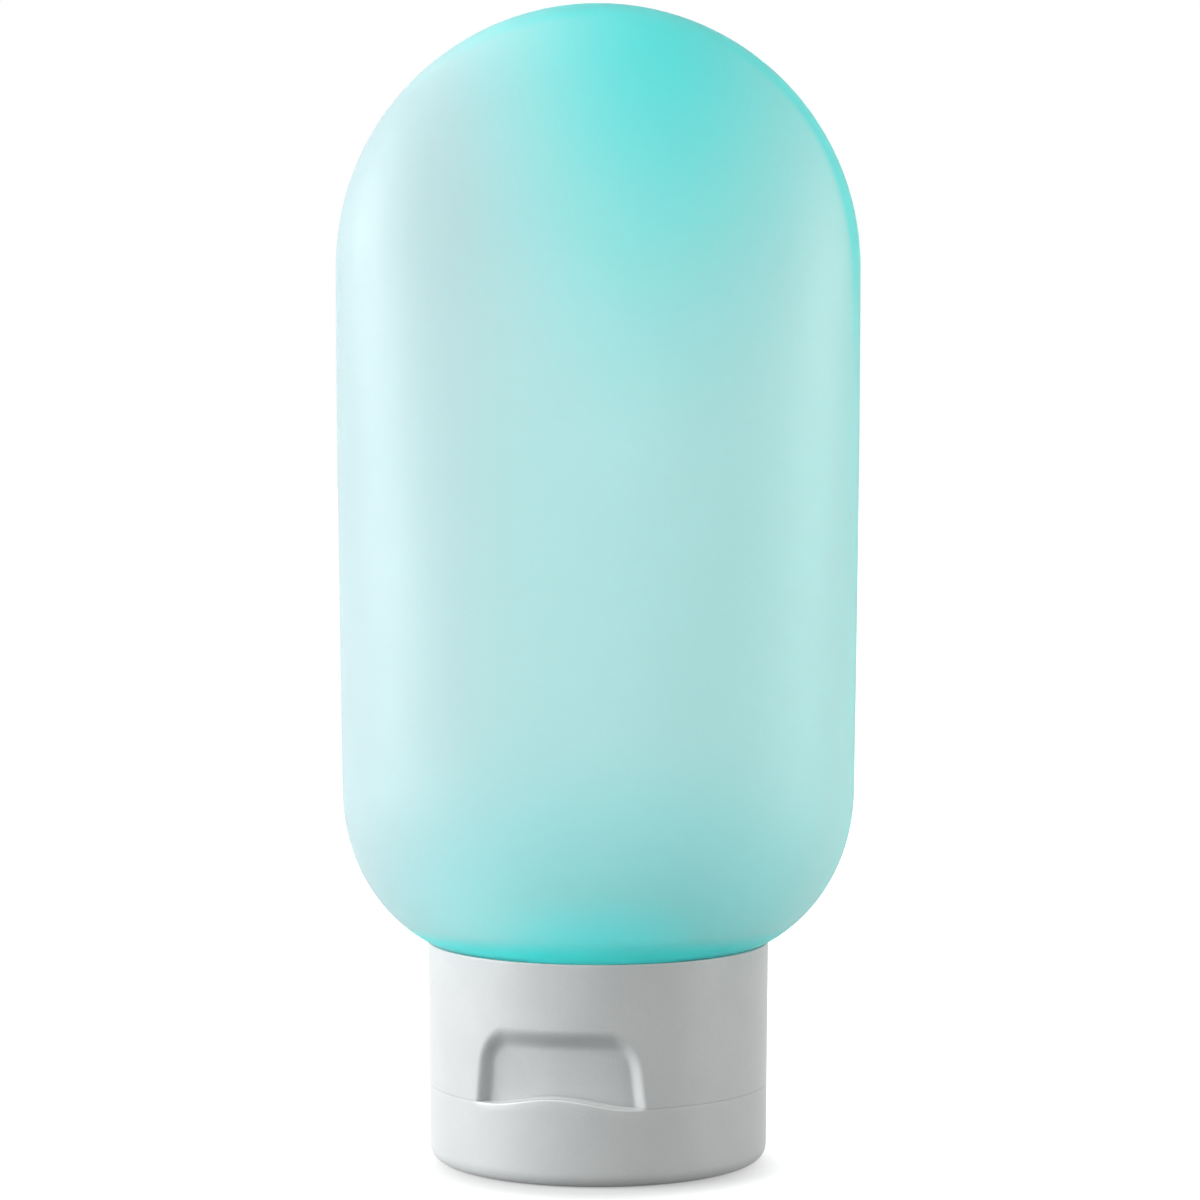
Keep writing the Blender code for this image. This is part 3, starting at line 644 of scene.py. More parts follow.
def build_bottle_shell():
    outer, outer_tip = shell_sections(0.0, 0.0, 0.0)
    inner, inner_tip = shell_sections(SIDE_WALL, CROWN_WALL, LIP_THICKNESS)
    rings = [oval(*section) for section in reversed(inner)]
    lip_top = BODY_RIM + LIP_THICKNESS
    lip = rounded([(RIM_RADIUS - SIDE_WALL, lip_top, 0.0), (LIP_HOLE, lip_top, RIM_ROUNDING),
                   (LIP_HOLE, BODY_RIM, RIM_ROUNDING), (RIM_RADIUS, BODY_RIM, 0.0)],
                  closed=False)
    rings += [oval(radius, radius, 2.0, height) for radius, height in lip[1:-1]]
    # The rim itself is rounded: the first outer ring is drawn in a little and set higher
    first_width, first_depth, squareness, height = outer[0]
    rings.append(oval(first_width - RIM_ROUNDING, first_depth - RIM_ROUNDING, 2.0, BODY_RIM))
    rings.append(oval(first_width - RIM_ROUNDING / 4.0, first_depth - RIM_ROUNDING / 4.0, 2.0,
                      BODY_RIM + RIM_ROUNDING / 8.0))
    rings += [oval(*section) for section in outer[1:]]
    return mesh_object("soft_bottle", skin(rings, inner_tip, outer_tip))


soft_bottle = finish_piece(build_bottle_shell(), frosted_teal,
                           "bottle", "bottle_body")

# %% [markdown]
# ## The cap's base
#
# On the real bottle the base is one injection moulding: a skirt that shows, a threaded
# skirt inside it, a deck between them with the nozzle, and half a hinge. These could be
# separate pieces pushed together, but one profile that goes once round all of them makes
# one clean wall. The cap stands 14.4 degrees left of the bottle's front, where its thread
# happens to stop, so the finished mesh is turned by that angle at the end.

# %% Sizes of the cap
CAP_DRAFT = math.tan(math.radians(0.5))
CAP_STOP = math.radians(-14.4)
SEAM = 0.00001
PARTING = 0.00865                 # middle of the seam between the lid and the base
BASE_LOW = PARTING + SEAM / 2.0
DECK_TOP = 0.0111
NOZZLE_TIP = 0.0049
VALVE_SEAT = 0.0061
NOZZLE_RADIUS = 0.0074
NOZZLE_BORE = 0.0064
ORIFICE_RADIUS = 0.0042
SKIRT_INNER = 0.0176
INNER_SKIRT_BORE = 0.0143
INNER_SKIRT_OUTER = 0.0158
SKIRT_TOP = 0.0226
NECK_RADIUS = 0.0130
NECK_BOTTOM = 0.0127
SHOULDER_BOTTOM = 0.0229
SOFT_EDGE = 0.00025
SEAM_EDGE = 0.00003
RIM_EDGE = 0.00012


def cap_radius(height):
    """Outside of the drafted cap at a height."""
    return CAP_RADIUS - CAP_DRAFT * (CAP_HEIGHT - height)


def smooth(share):
    """0 to 1 along an S-shaped curve."""
    share = min(1.0, max(0.0, share))
    return share * share * (3.0 - 2.0 * share)


print("the cap tapers from", round(2000.0 * cap_radius(CAP_HEIGHT), 1), "to",
      round(2000.0 * cap_radius(0.0), 1), "mm across")

# %% [markdown]
# The thumb recess is a rounded window with sloping sides and a nearly flat floor, which
# leans out a little towards the top. Cutting it with a Boolean would leave hard edges, and
# the real one has soft ones. So the points of the skirt are pushed in instead: each is
# moved towards the recess floor by an amount that depends on how far inside the window's
# outline it lies.

# %% Thumb recess
RECESS_HALF = 0.0098
RECESS_TOP_HALF = 0.0089
RECESS_TOP = 0.0173
RECESS_BOTTOM = 0.0085
RECESS_CORNER = 0.0031
RECESS_DEPTH = 0.0024              # at the parting line
RECESS_TOP_DEPTH = 0.0018          # the floor leans out to meet the top
RECESS_FLOOR_RADIUS = 0.0330
RECESS_SIDE = 0.0018               # how wide its sloping sides are
RECESS_TOP_EASE = 0.7              # its top slopes more gently than its sides
RECESS_LEAN = math.atan2(RECESS_HALF - RECESS_TOP_HALF, RECESS_TOP - RECESS_BOTTOM)


def depth_inside_window(x, z):
    """How far inside the recess outline a point of the front lies; below 0 is outside."""
    from_side = ((RECESS_HALF - abs(x)) * math.cos(RECESS_LEAN)
                 - (z - RECESS_BOTTOM) * math.sin(RECESS_LEAN))
    from_top = (RECESS_TOP - z) * RECESS_TOP_EASE
    if from_side < RECESS_CORNER and from_top < RECESS_CORNER:
        return RECESS_CORNER - math.hypot(RECESS_CORNER - from_side, RECESS_CORNER - from_top)
    return min(from_side, from_top)


def press_recess(point):
    share = smooth(depth_inside_window(point.x, point.z) / RECESS_SIDE)
    if share == 0.0 or point.y > 0.0:
        return point
    rise = smooth((point.z - RECESS_BOTTOM) / (RECESS_TOP - RECESS_BOTTOM))
    floor = RECESS_DEPTH + (RECESS_TOP_DEPTH - RECESS_DEPTH) * rise - cap_radius(RECESS_BOTTOM)
    floor += RECESS_FLOOR_RADIUS - math.sqrt(RECESS_FLOOR_RADIUS ** 2 - point.x ** 2)
    return Vector((point.x, point.y + (max(point.y, floor) - point.y) * share, point.z))


print("recess sides lean", round(math.degrees(RECESS_LEAN), 1), "degrees")

# %% [markdown]
# A screw thread is a ridge that climbs as it goes round. It could be a small profile swept
# along a helix and joined on. Seen from a point on the wall, though, the only question is
# how far the nearest turn of the ridge is above or below it. That one number gives the
# height of the ridge there, so the thread needs no mesh of its own.

# %% Screw threads
THREAD_PITCH = 0.0040
THREAD_HEIGHT = 0.0010
THREAD_ROOT_HALF = 0.0009
THREAD_CREST_HALF = 0.00045
THREAD_RUN_OUT = 0.12
NECK_TURNS = 1.75
CAP_TURNS = 1.25
THREAD_MIDDLE = (NECK_BOTTOM + SHOULDER_BOTTOM) / 2.0
THREAD_PLAY = 0.0004
RIDGE_STEP = THREAD_ROOT_HALF + THREAD_CREST_HALF + THREAD_PLAY


def ridge(angle_from_x, height, start, middle, turns):
    """Height of a helical ridge over its wall, 0 between the turns."""
    turn = ((angle_from_x - start) / math.tau) % 1.0
    best = 0.0
    while turn <= turns:
        off = abs(height - middle - THREAD_PITCH * (turn - turns / 2.0))
        flank = (THREAD_ROOT_HALF - off) / (THREAD_ROOT_HALF - THREAD_CREST_HALF)
        ends = min(turn, turns - turn) / THREAD_RUN_OUT
        best = max(best, smooth(flank) * smooth(ends))
        turn += 1.0
    return best * THREAD_HEIGHT


print("thread:", NECK_TURNS, "turns on the neck and", CAP_TURNS, "in the cap")

# %% [markdown]
# As the base's profile is swept, one function decides what happens to each point. On the
# outer skirt it presses the recess in. In the inner skirt it raises the thread. Between
# the two it fills the hollow at the front, where the moulding is solid behind the recess.
# Elsewhere it leaves the point alone. Three functions on three meshes would do the same,
# but then the meshes would have to be joined.

# %% Mould of the base
WELL_HALF = math.radians(135.0)
WELL_END = math.radians(3.0)
CAP_THREAD_START = math.pi * (NECK_TURNS - CAP_TURNS) - CAP_STOP


def mould_base(point, angle):
    radius = math.hypot(point.x, point.y)
    if radius > SKIRT_INNER + SOFT_EDGE:
        return press_recess(point)
    if abs(radius - INNER_SKIRT_BORE) < MERGE and DECK_TOP < point.z < SKIRT_TOP:
        raised = ridge(angle - math.pi / 2.0, point.z, CAP_THREAD_START,
                       THREAD_MIDDLE - RIDGE_STEP, CAP_TURNS)
        shrunk = (radius - raised) / radius
        return Vector((point.x * shrunk, point.y * shrunk, point.z))
    if INNER_SKIRT_OUTER - SOFT_EDGE - MERGE < radius < SKIRT_INNER - MERGE and point.z < SKIRT_TOP:
        back = math.pi - abs((angle + math.pi) % math.tau - math.pi)
        filled = smooth((back - WELL_HALF) / WELL_END)
        return Vector((point.x, point.y, point.z + (SKIRT_TOP - point.z) * filled))
    return point


print("cap thread starts at", round(math.degrees(CAP_THREAD_START), 1), "degrees")

# %% [markdown]
# The hinge at the back is three knuckles in a row on one steel pin: two on the base and
# one on the lid. A knuckle is a round barrel with a foot that runs along the wall. These
# are joined on with Booleans, because a barrel that stands out to one side isn't part of
# any turned profile. One wide barrel is joined first, and then the room for the other
# half's knuckle is cut out of it, so no two faces lie in the same plane.

# %% Sizes of the hinge
KNUCKLE_RADIUS = 0.0014
KNUCKLE_FOOT = 0.0036
HINGE_WIDTH = 0.0098
LID_KNUCKLE_WIDTH = 0.0044
HINGE_OFFSET = 0.0001
HINGE_GAP = 0.0003
PIN_HOLE_RADIUS = 0.0007
HINGE_Y = cap_radius(RECESS_BOTTOM) + HINGE_OFFSET
BARREL_STEPS = 24
BARREL_START, BARREL_SWEEP = 40.0, 220.0   # degrees

print("hinge axis:", round(1000.0 * HINGE_Y, 2), "mm behind the middle of the cap")

# %% [markdown]
# A knuckle could be a cylinder and a box. Drawn as one outline and pushed out to its
# width, it has no joint between barrel and foot. The rod is the tool that cuts room for
# it and the hole for the pin.

# %% Hinge helpers


def knuckle(half_width, upward):
    """A barrel round the hinge axis, with a foot up or down the wall."""
    side = 1.0 if upward else -1.0
    outline = []
    for i in range(BARREL_STEPS + 1):
        angle = math.radians(BARREL_START - BARREL_SWEEP * i / BARREL_STEPS)
        outline.append((KNUCKLE_RADIUS * math.cos(angle), KNUCKLE_RADIUS * math.sin(angle)))
    outline.append((-HINGE_OFFSET - KNUCKLE_RADIUS, KNUCKLE_FOOT))
    bm = bmesh.new()
    corners = [bm.verts.new((-half_width, HINGE_Y + y, PARTING + side * z)) for y, z in outline]
    pushed = bmesh.ops.extrude_face_region(bm, geom=[bm.faces.new(corners)])
    moved = [v for v in pushed["geom"] if isinstance(v, bmesh.types.BMVert)]
    bmesh.ops.translate(bm, vec=(2.0 * half_width, 0.0, 0.0), verts=moved)
    bmesh.ops.recalc_face_normals(bm, faces=bm.faces)
    return bm


def hinge_rod(radius, x_from, x_to):
    """A cylinder on the hinge axis, used to cut with."""
    bm = bmesh.new()
    place = Matrix.Translation(((x_from + x_to) / 2.0, HINGE_Y, PARTING))
    bmesh.ops.create_cone(bm, cap_ends=True, segments=2 * BARREL_STEPS, radius1=radius,
                          radius2=radius, depth=x_to - x_from,
                          matrix=place @ Matrix.Rotation(math.pi / 2.0, 4, "Y"))
    return bm


def turn_to_stop(made):
    """Turn a cap piece from the bottle's front to where the thread stops."""
    made.data.transform(Matrix.Rotation(CAP_STOP, 4, "Z"))
    return made


print("each cap piece turns by", round(math.degrees(CAP_STOP), 1), "degrees at the end")

# %% [markdown]
# Now the base can be swept. The outer skirt and the threaded wall are split into a fine
# grid first, because they are bent. The other walls stay plain, which keeps the mesh
# light. A subdivision modifier would have made every wall fine.

# %% Build the base
RECESS_GRID = 0.00025
THREAD_GRID = 0.00032
NOT_SPLIT = 1.0


def build_cap_base():
    corners = [
        (cap_radius(CAP_HEIGHT), CAP_HEIGHT, RIM_EDGE),
        (cap_radius(BASE_LOW), BASE_LOW, SEAM_EDGE),
        (NOZZLE_RADIUS, BASE_LOW, SOFT_EDGE), (NOZZLE_RADIUS, NOZZLE_TIP, SOFT_EDGE),
        (ORIFICE_RADIUS, NOZZLE_TIP, SOFT_EDGE), (ORIFICE_RADIUS, VALVE_SEAT, 0.0),
        (NOZZLE_BORE, VALVE_SEAT, 0.0), (NOZZLE_BORE, DECK_TOP, SOFT_EDGE),
        (INNER_SKIRT_BORE, DECK_TOP, SOFT_EDGE), (INNER_SKIRT_BORE, SKIRT_TOP, SOFT_EDGE),
        (INNER_SKIRT_OUTER, SKIRT_TOP, SOFT_EDGE), (INNER_SKIRT_OUTER, DECK_TOP, SOFT_EDGE),
        (SKIRT_INNER - HINGE_GAP, DECK_TOP, SOFT_EDGE), (SKIRT_INNER - HINGE_GAP, SKIRT_TOP, 0.0),
        (SKIRT_INNER, SKIRT_TOP, 0.0), (SKIRT_INNER, CAP_HEIGHT, SOFT_EDGE),
    ]

    def step_at(middle):
        if middle.x > SKIRT_INNER + SOFT_EDGE and BASE_LOW < middle.y < CAP_HEIGHT:
            return RECESS_GRID
        return THREAD_GRID if abs(middle.x - INNER_SKIRT_BORE) < MERGE else NOT_SPLIT

    profile = refine(rounded(corners), step_at)
    columns = angles_round(fine_half=33.0, fine_step=0.55, coarse_step=4.0)
    base = mesh_object("screw_base", turned(profile, columns, mould=mould_base))
    half = HINGE_WIDTH / 2.0
    room = LID_KNUCKLE_WIDTH / 2.0 + HINGE_GAP
    return with_booleans(base, [
        ("UNION", "base_knuckles", knuckle(half, upward=True)),
        ("DIFFERENCE", "knuckle_room", hinge_rod(KNUCKLE_RADIUS + HINGE_GAP, -room, room)),
        ("DIFFERENCE", "pin_hole", hinge_rod(PIN_HOLE_RADIUS, -2.0 * half, 2.0 * half))])


bare_base = turn_to_stop(build_cap_base())
print("the bare base has", len(bare_base.data.vertices), "points")

# %% [markdown]
# The cap is a matte, light grey plastic such as polypropylene. One flat grey would do from
# far off. Close up, a moulded surface isn't perfectly even: it has a fine grain from the
# mould, and slightly cloudy patches where the plastic cooled at different speeds. So two
# near greys are blended by a noise, a few millimetres wide.

# %% Moulded plastic
PLASTIC_GRAIN = 0.00025
PLASTIC_BUMP = 0.000015
CLOUD_STEP = (0.10, 0.45)
CAP_LIGHT = (0.410, 0.420, 0.420, 1.0)
CAP_DARK = (0.380, 0.390, 0.392, 1.0)
CAP_ROUGHNESS = (0.36, 0.46)


def moulded_plastic(name, light, dark, roughness, lip_highlight=None):
    material, tree, shader = new_finish(name, IOR=1.49, Specular_IOR_Level=0.32)
    coords = wire(tree, "ShaderNodeTexCoord", {}).outputs["Object"]
    grain = add_grain(tree, shader, coords, PLASTIC_GRAIN, PLASTIC_BUMP, *roughness)
    cloud = wire(tree, "ShaderNodeTexNoise", {
        "Vector": coords, "Scale": 180.0, "Detail": 4.0, "Roughness": 0.55})
    mixed = product(tree, cloud.outputs["Fac"], grain)
    colour = blend_colours(tree, soft_step(tree, mixed, *CLOUD_STEP), dark, light)
    # A painted highlight along the lid's lip, when one is asked for
    if lip_highlight:
        colour = blend_colours(tree, lip_highlight(tree, coords), colour, LIP_HIGHLIGHT_GREY)
    tree.links.new(colour, shader.inputs["Base Color"])
    return material


cap_grey = moulded_plastic("matte_cap_grey", CAP_LIGHT, CAP_DARK, CAP_ROUGHNESS)
screw_base = finish_piece(bare_base, cap_grey, "cap", "cap_base")

# %% [markdown]
# ## The flip lid
#
# The lid is a shallow cup, turned like the base. Its rim rises into a low lip in front,
# inside the recess, where a thumb pushes it open. The lip could be a block joined on, but
# it has no joint on the real lid. So the upper points of the wall are lifted along a
# cosine bump, the lip's outer edge is rounded, and the wall behind it is a bit thicker.

# %% Shape the lip
LID_WALL = 0.0017
LID_FLOOR = 0.0015
LID_HIGH = PARTING - SEAM / 2.0
LID_FILLET = 0.0016
COLLAR_TOP = 0.0030
COLLAR_WALL = 0.0010
LIP_RISE = 0.0011
LIP_HALF = 0.0088
LIP_FOOT = 0.0055
LIP_EDGE = 0.00020                # rounding of the lip, where it shows in the recess
LIP_EXTRA = 0.0005                # the wall is thicker behind the lip
LID_INSIDE = cap_radius(0.0) - LID_WALL


def mould_lid(point, angle):
    if point.y > 0.0 or abs(point.x) > LIP_HALF or point.z < LIP_FOOT:
        return point
    bump = (1.0 + math.cos(math.pi * point.x / LIP_HALF)) / 2.0
    share = smooth((point.z - LIP_FOOT) / (LID_HIGH - LIP_FOOT))
    climb = min(1.0, max(0.0, (point.z - LID_HIGH) / LIP_EDGE + 1.0))
    radius = math.hypot(point.x, point.y)
    if radius > cap_radius(LID_HIGH) - 2.0 * SEAM_EDGE:
        rounding = LIP_EDGE * (1.0 - math.sqrt(1.0 - climb ** 2))
        rounding *= smooth((LIP_HALF - abs(point.x)) / LIP_EDGE)
        kept = 1.0 - rounding / radius
        point = Vector((point.x * kept, point.y * kept, point.z))
    elif radius < LID_INSIDE + SOFT_EDGE:
        kept = 1.0 - LIP_EXTRA * share * smooth((LIP_HALF - abs(point.x)) / LIP_EDGE) / radius
        point = Vector((point.x * kept, point.y * kept, point.z))
    return point + Vector((0.0, 0.0, LIP_RISE * bump * share))


print("the lip rises", round(1000.0 * LIP_RISE, 1), "mm over the seam")

# %% [markdown]
# The cup is one open profile, from the axis on the inside to the axis on the outside. A
# low collar on its floor keeps the sealing pad in place. The top of the wall gets the
# finest points, because the lip's small rounding has to show in the recess.

# %% Build the flip lid
LIP_GRID = 0.00006
WALL_GRID = 0.0005
FLOOR_GRID = 0.004


def build_flip_lid():
    collar = NOZZLE_RADIUS + COLLAR_WALL
    corners = [
        (0.0, LID_FLOOR, 0.0), (NOZZLE_RADIUS, LID_FLOOR, SOFT_EDGE),
        (NOZZLE_RADIUS, COLLAR_TOP, SOFT_EDGE), (collar, COLLAR_TOP, SOFT_EDGE),
        (collar, LID_FLOOR, SOFT_EDGE), (LID_INSIDE, LID_FLOOR, LID_FILLET - LID_FLOOR / 2.0),
        (LID_INSIDE, LID_HIGH, SOFT_EDGE), (cap_radius(LID_HIGH), LID_HIGH, SEAM_EDGE),
        (cap_radius(0.0), 0.0, LID_FILLET), (0.0, 0.0, 0.0),
    ]

    def step_at(middle):
        if middle.y > LID_HIGH - 2.0 * LIP_EDGE:
            return LIP_GRID
        return WALL_GRID if LID_FLOOR < middle.y and middle.x > collar else FLOOR_GRID

    profile = refine(rounded(corners, closed=False), step_at, closed=False)
    columns = angles_round(fine_half=27.0, fine_step=1.0, coarse_step=3.0)
    lid = mesh_object("flip_top", turned(profile, columns, closed=False, mould=mould_lid))
    half = LID_KNUCKLE_WIDTH / 2.0
    end = HINGE_WIDTH / 2.0 + HINGE_GAP
    return with_booleans(lid, [
        ("UNION", "lid_knuckle", knuckle(half + HINGE_GAP / 2.0, upward=False)),
        ("DIFFERENCE", "left_room", hinge_rod(KNUCKLE_RADIUS + HINGE_GAP, -end, -half)),
        ("DIFFERENCE", "right_room", hinge_rod(KNUCKLE_RADIUS + HINGE_GAP, half, end)),
        ("DIFFERENCE", "pin_hole", hinge_rod(PIN_HOLE_RADIUS, -end, end))])


bare_lid = turn_to_stop(build_flip_lid())
print("the bare lid has", len(bare_lid.data.vertices), "points")

# %% [markdown]
# The plastic lets a little light through, and the lip's rounded edge catches light from
# above, so the thin lip looks lighter along its edge. Real scattering in so thin an edge
# would need very fine light paths. Instead the lid's finish paints a highlight: it works out
# how high the lip's cosine bump is at each place, and paints a narrow, lighter line just
# below it.

# %% Dress the flip lid
# Painted highlight: the lighter grey and the width of the line along the lip
LIP_HIGHLIGHT_GREY = (0.550, 0.565, 0.560, 1.0)
LIP_HIGHLIGHT_WIDTH = 0.00026


def painted_lip_highlight(tree, coords):
    """1 along the lid's lip, where a highlight is painted, and 0 elsewhere."""
    across = wire(tree, "ShaderNodeVectorMath", {
        0: coords, 1: (math.cos(CAP_STOP), math.sin(CAP_STOP), 0.0)},
        operation="DOT_PRODUCT").outputs["Value"]
    wave = wire(tree, "ShaderNodeMath", {
        0: product(tree, across, math.pi / LIP_HALF)}, operation="COSINE").outputs["Value"]
    top = wire(tree, "ShaderNodeMath", {
        0: wave, 1: LIP_RISE / 2.0, 2: LID_HIGH + LIP_RISE / 2.0}, operation="MULTIPLY_ADD")
    height = wire(tree, "ShaderNodeSeparateXYZ", {"Vector": coords}).outputs["Z"]
    below = wire(tree, "ShaderNodeMath", {
        0: top.outputs["Value"], 1: height}, operation="SUBTRACT").outputs["Value"]
    beside = distance_to(tree, across, 0.0)
    return product(tree, soft_step(tree, below, LIP_HIGHLIGHT_WIDTH, LIP_HIGHLIGHT_WIDTH / 2.0),
                   soft_step(tree, beside, RECESS_HALF, LIP_HALF))


# The lid's finish paints the highlight along its lip
lid_grey = moulded_plastic("matte_lid_grey", CAP_LIGHT, CAP_DARK, CAP_ROUGHNESS, painted_lip_highlight)
flip_top = finish_piece(bare_lid, lid_grey, "lid", "flip_lid")

# %% [markdown]
# ## What is inside
#
# A soft mouth can't hold a screw thread, so the bottle grips a hard ring, and the cap
# screws onto that. The ring shows when the cap is off. Its thread could be left out in a
# picture of the closed bottle, but here the cap really turns, so the ring gets the same
# kind of ridge as the cap, raised outward instead of inward.

# %% Build the neck ring
NECK_BORE = 0.0113
NECK_FLANGE_RADIUS = 0.0160
NECK_SHOULDER_RADIUS = 0.0165
NECK_FLANGE_LOW = 0.0271
NECK_FLANGE_HIGH = 0.0286
NECK_GRID = 0.0003


def mould_neck(point, angle):
    radius = math.hypot(point.x, point.y)
    if abs(radius - NECK_RADIUS) > MERGE or point.z > SHOULDER_BOTTOM:
        return point
    grown = 1.0 + ridge(angle - math.pi / 2.0, point.z, 0.0, THREAD_MIDDLE, NECK_TURNS) / radius
    return Vector((point.x * grown, point.y * grown, point.z))


def build_neck_ring():
    corners = [
        (NECK_FLANGE_RADIUS, NECK_FLANGE_HIGH, SOFT_EDGE),
        (NECK_FLANGE_RADIUS, NECK_FLANGE_LOW, SOFT_EDGE),
        (NECK_RADIUS, NECK_FLANGE_LOW, SOFT_EDGE), (NECK_RADIUS, CAP_HEIGHT, SOFT_EDGE),
        (NECK_SHOULDER_RADIUS, CAP_HEIGHT, SOFT_EDGE),
        (NECK_SHOULDER_RADIUS, SHOULDER_BOTTOM, SOFT_EDGE),
        (NECK_RADIUS, SHOULDER_BOTTOM, SOFT_EDGE), (NECK_RADIUS, NECK_BOTTOM, SOFT_EDGE),
        (NECK_BORE, NECK_BOTTOM, SOFT_EDGE), (NECK_BORE, NECK_FLANGE_HIGH, SOFT_EDGE),
    ]

    def step_at(middle):
        on_wall = abs(middle.x - NECK_RADIUS) < MERGE and middle.y < SHOULDER_BOTTOM
        return NECK_GRID if on_wall else NOT_SPLIT

    return mesh_object("threaded_neck", turned(
        refine(rounded(corners), step_at), angles_round(coarse_step=2.5), mould=mould_neck))


bare_neck = build_neck_ring()
print("the bare neck ring has", len(bare_neck.data.vertices), "points")

# %% [markdown]
# The ring is undyed polypropylene, a natural white that is a bit glossier than the cap.
# It could have a finish of its own, but it comes out of the same kind of mould, so the
# cap's finish makes it with two lighter greys.

# %% Dress the neck ring
NECK_LIGHT = (0.600, 0.615, 0.615, 1.0)
NECK_DARK = (0.560, 0.575, 0.575, 1.0)
NECK_ROUGHNESS = (0.34, 0.44)

neck_white = moulded_plastic("neck_plastic_white", NECK_LIGHT, NECK_DARK, NECK_ROUGHNESS)
threaded_neck = finish_piece(bare_neck, neck_white, "bottle", "neck_ring")

# %% [markdown]
# Three soft pieces keep the liquid in: the valve in the nozzle, the gasket between ring
# and cap, and the pad in the lid. All are silicone without dye. It is even in colour, soft
# to light and a little dusty, so its finish has a dull grain and some scattering inside. A
# glassy finish would look wet.

# %% Milky rubber
RUBBER_LIGHT = (0.66, 0.68, 0.67, 1.0)
RUBBER_DARK = (0.60, 0.62, 0.61, 1.0)
RUBBER_GRAIN = 0.0002
RUBBER_BUMP = 0.00001
RUBBER_ROUGHNESS = (0.46, 0.58)


def soft_rubber(name, light, dark):
    material, tree, shader = new_finish(
        name, Subsurface_Weight=0.2, Subsurface_Scale=0.001, IOR=1.41)
    coords = wire(tree, "ShaderNodeTexCoord", {}).outputs["Object"]
    grain = add_grain(tree, shader, coords, RUBBER_GRAIN, RUBBER_BUMP, *RUBBER_ROUGHNESS)
    tree.links.new(blend_colours(tree, grain, dark, light), shader.inputs["Base Color"])
    return material


milky_rubber = soft_rubber("milky_rubber", RUBBER_LIGHT, RUBBER_DARK)
print(milky_rubber.name, "dresses all three soft pieces")

# %% [markdown]
# The bottle is kept standing on its cap, so its nozzle needs more than a hole. The valve
# is a small cup of silicone with two crossed slits in its skin. They stay shut until the
# bottle is squeezed. Dark lines could be drawn on the skin instead, but real cuts also
# hold from a low angle. A thin slab cuts each of them.

# %% Build the slit valve
VALVE_TOP = 0.0076
VALVE_CUP = 0.0039
VALVE_FLANGE_RADIUS = 0.0061
VALVE_FLANGE_LOW = 0.0064
VALVE_LOW = 0.0052
VALVE_SKIN = 0.0006
SLIT_HALF = 0.0022
SLIT_WIDTH = 0.0002


def slab(length, width, low, high):
    """A thin upright block round the axis, used to cut the valve's slits."""
    bm = bmesh.new()
    bmesh.ops.create_cube(bm, size=1.0, matrix=Matrix.Translation((0.0, 0.0, (low + high) / 2.0))
                          @ Matrix.Diagonal((length, width, high - low, 1.0)))
    return bm


def build_valve():
    inside = VALVE_CUP - VALVE_SKIN
    corners = [
        (0.0, VALVE_LOW, 0.0), (VALVE_CUP, VALVE_LOW, SOFT_EDGE),
        (VALVE_CUP, VALVE_FLANGE_LOW, SOFT_EDGE / 2.0),
        (VALVE_FLANGE_RADIUS, VALVE_FLANGE_LOW, SOFT_EDGE),
        (VALVE_FLANGE_RADIUS, VALVE_TOP, SOFT_EDGE), (inside, VALVE_TOP, SOFT_EDGE),
        (inside, VALVE_LOW + VALVE_SKIN, SOFT_EDGE), (0.0, VALVE_LOW + VALVE_SKIN, 0.0),
    ]
    valve = mesh_object("cross_slit_valve", turned(
        rounded(corners, closed=False), angles_round(coarse_step=5.0), closed=False))
    low, high = VALVE_LOW - VALVE_SKIN, VALVE_LOW + 2.0 * VALVE_SKIN
    length = 2.0 * SLIT_HALF
    return with_booleans(valve, [
        ("DIFFERENCE", "slit_across", slab(length, SLIT_WIDTH, low, high)),
        ("DIFFERENCE", "slit_along", slab(SLIT_WIDTH, length, low, high))])


slit_valve = finish_piece(turn_to_stop(build_valve()), milky_rubber,
                          "cap", "slit_valve")

# %% [markdown]
# The gasket is a flat ring that the neck ring presses on the cap's deck. A torus would be
# too round: a flat gasket is cut from sheet. Four corners and a turn are all it takes.

# %% Build the gasket
GASKET_LOW, GASKET_HIGH = 0.0114, 0.0124
GASKET_INNER, GASKET_OUTER = 0.0108, 0.0140


def build_gasket():
    corners = [(radius, height, SOFT_EDGE) for radius, height in (
        (GASKET_OUTER, GASKET_HIGH), (GASKET_OUTER, GASKET_LOW),
        (GASKET_INNER, GASKET_LOW), (GASKET_INNER, GASKET_HIGH))]
    return mesh_object("flat_gasket", turned(rounded(corners), angles_round()))


flat_gasket = finish_piece(turn_to_stop(build_gasket()), milky_rubber,
                           "gasket", "neck_gasket")

# %% [markdown]
# The pad sits in the lid's collar and rides on the lid. Its raised button presses on the
# nozzle's end when the lid is shut. It could be modelled as a plain disc, but the step of
# the button shows when the lid is open.

# %% Build the sealing pad
SEAL_LOW, SEAL_FACE = 0.0018, 0.0046
SEAL_RADIUS = 0.0071
SEAL_BUTTON = 0.0036


def build_lid_seal():
    corners = [
        (0.0, NOZZLE_TIP, 0.0), (SEAL_BUTTON, NOZZLE_TIP, SOFT_EDGE / 2.0),
        (SEAL_BUTTON, SEAL_FACE, SOFT_EDGE / 2.0), (SEAL_RADIUS, SEAL_FACE, SOFT_EDGE),
        (SEAL_RADIUS, SEAL_LOW, SOFT_EDGE), (0.0, SEAL_LOW, 0.0),
    ]
    return mesh_object("sealing_pad", turned(
        rounded(corners, closed=False), angles_round(coarse_step=4.0), closed=False))


sealing_pad = finish_piece(turn_to_stop(build_lid_seal()), milky_rubber,
                           "lid", "lid_seal")

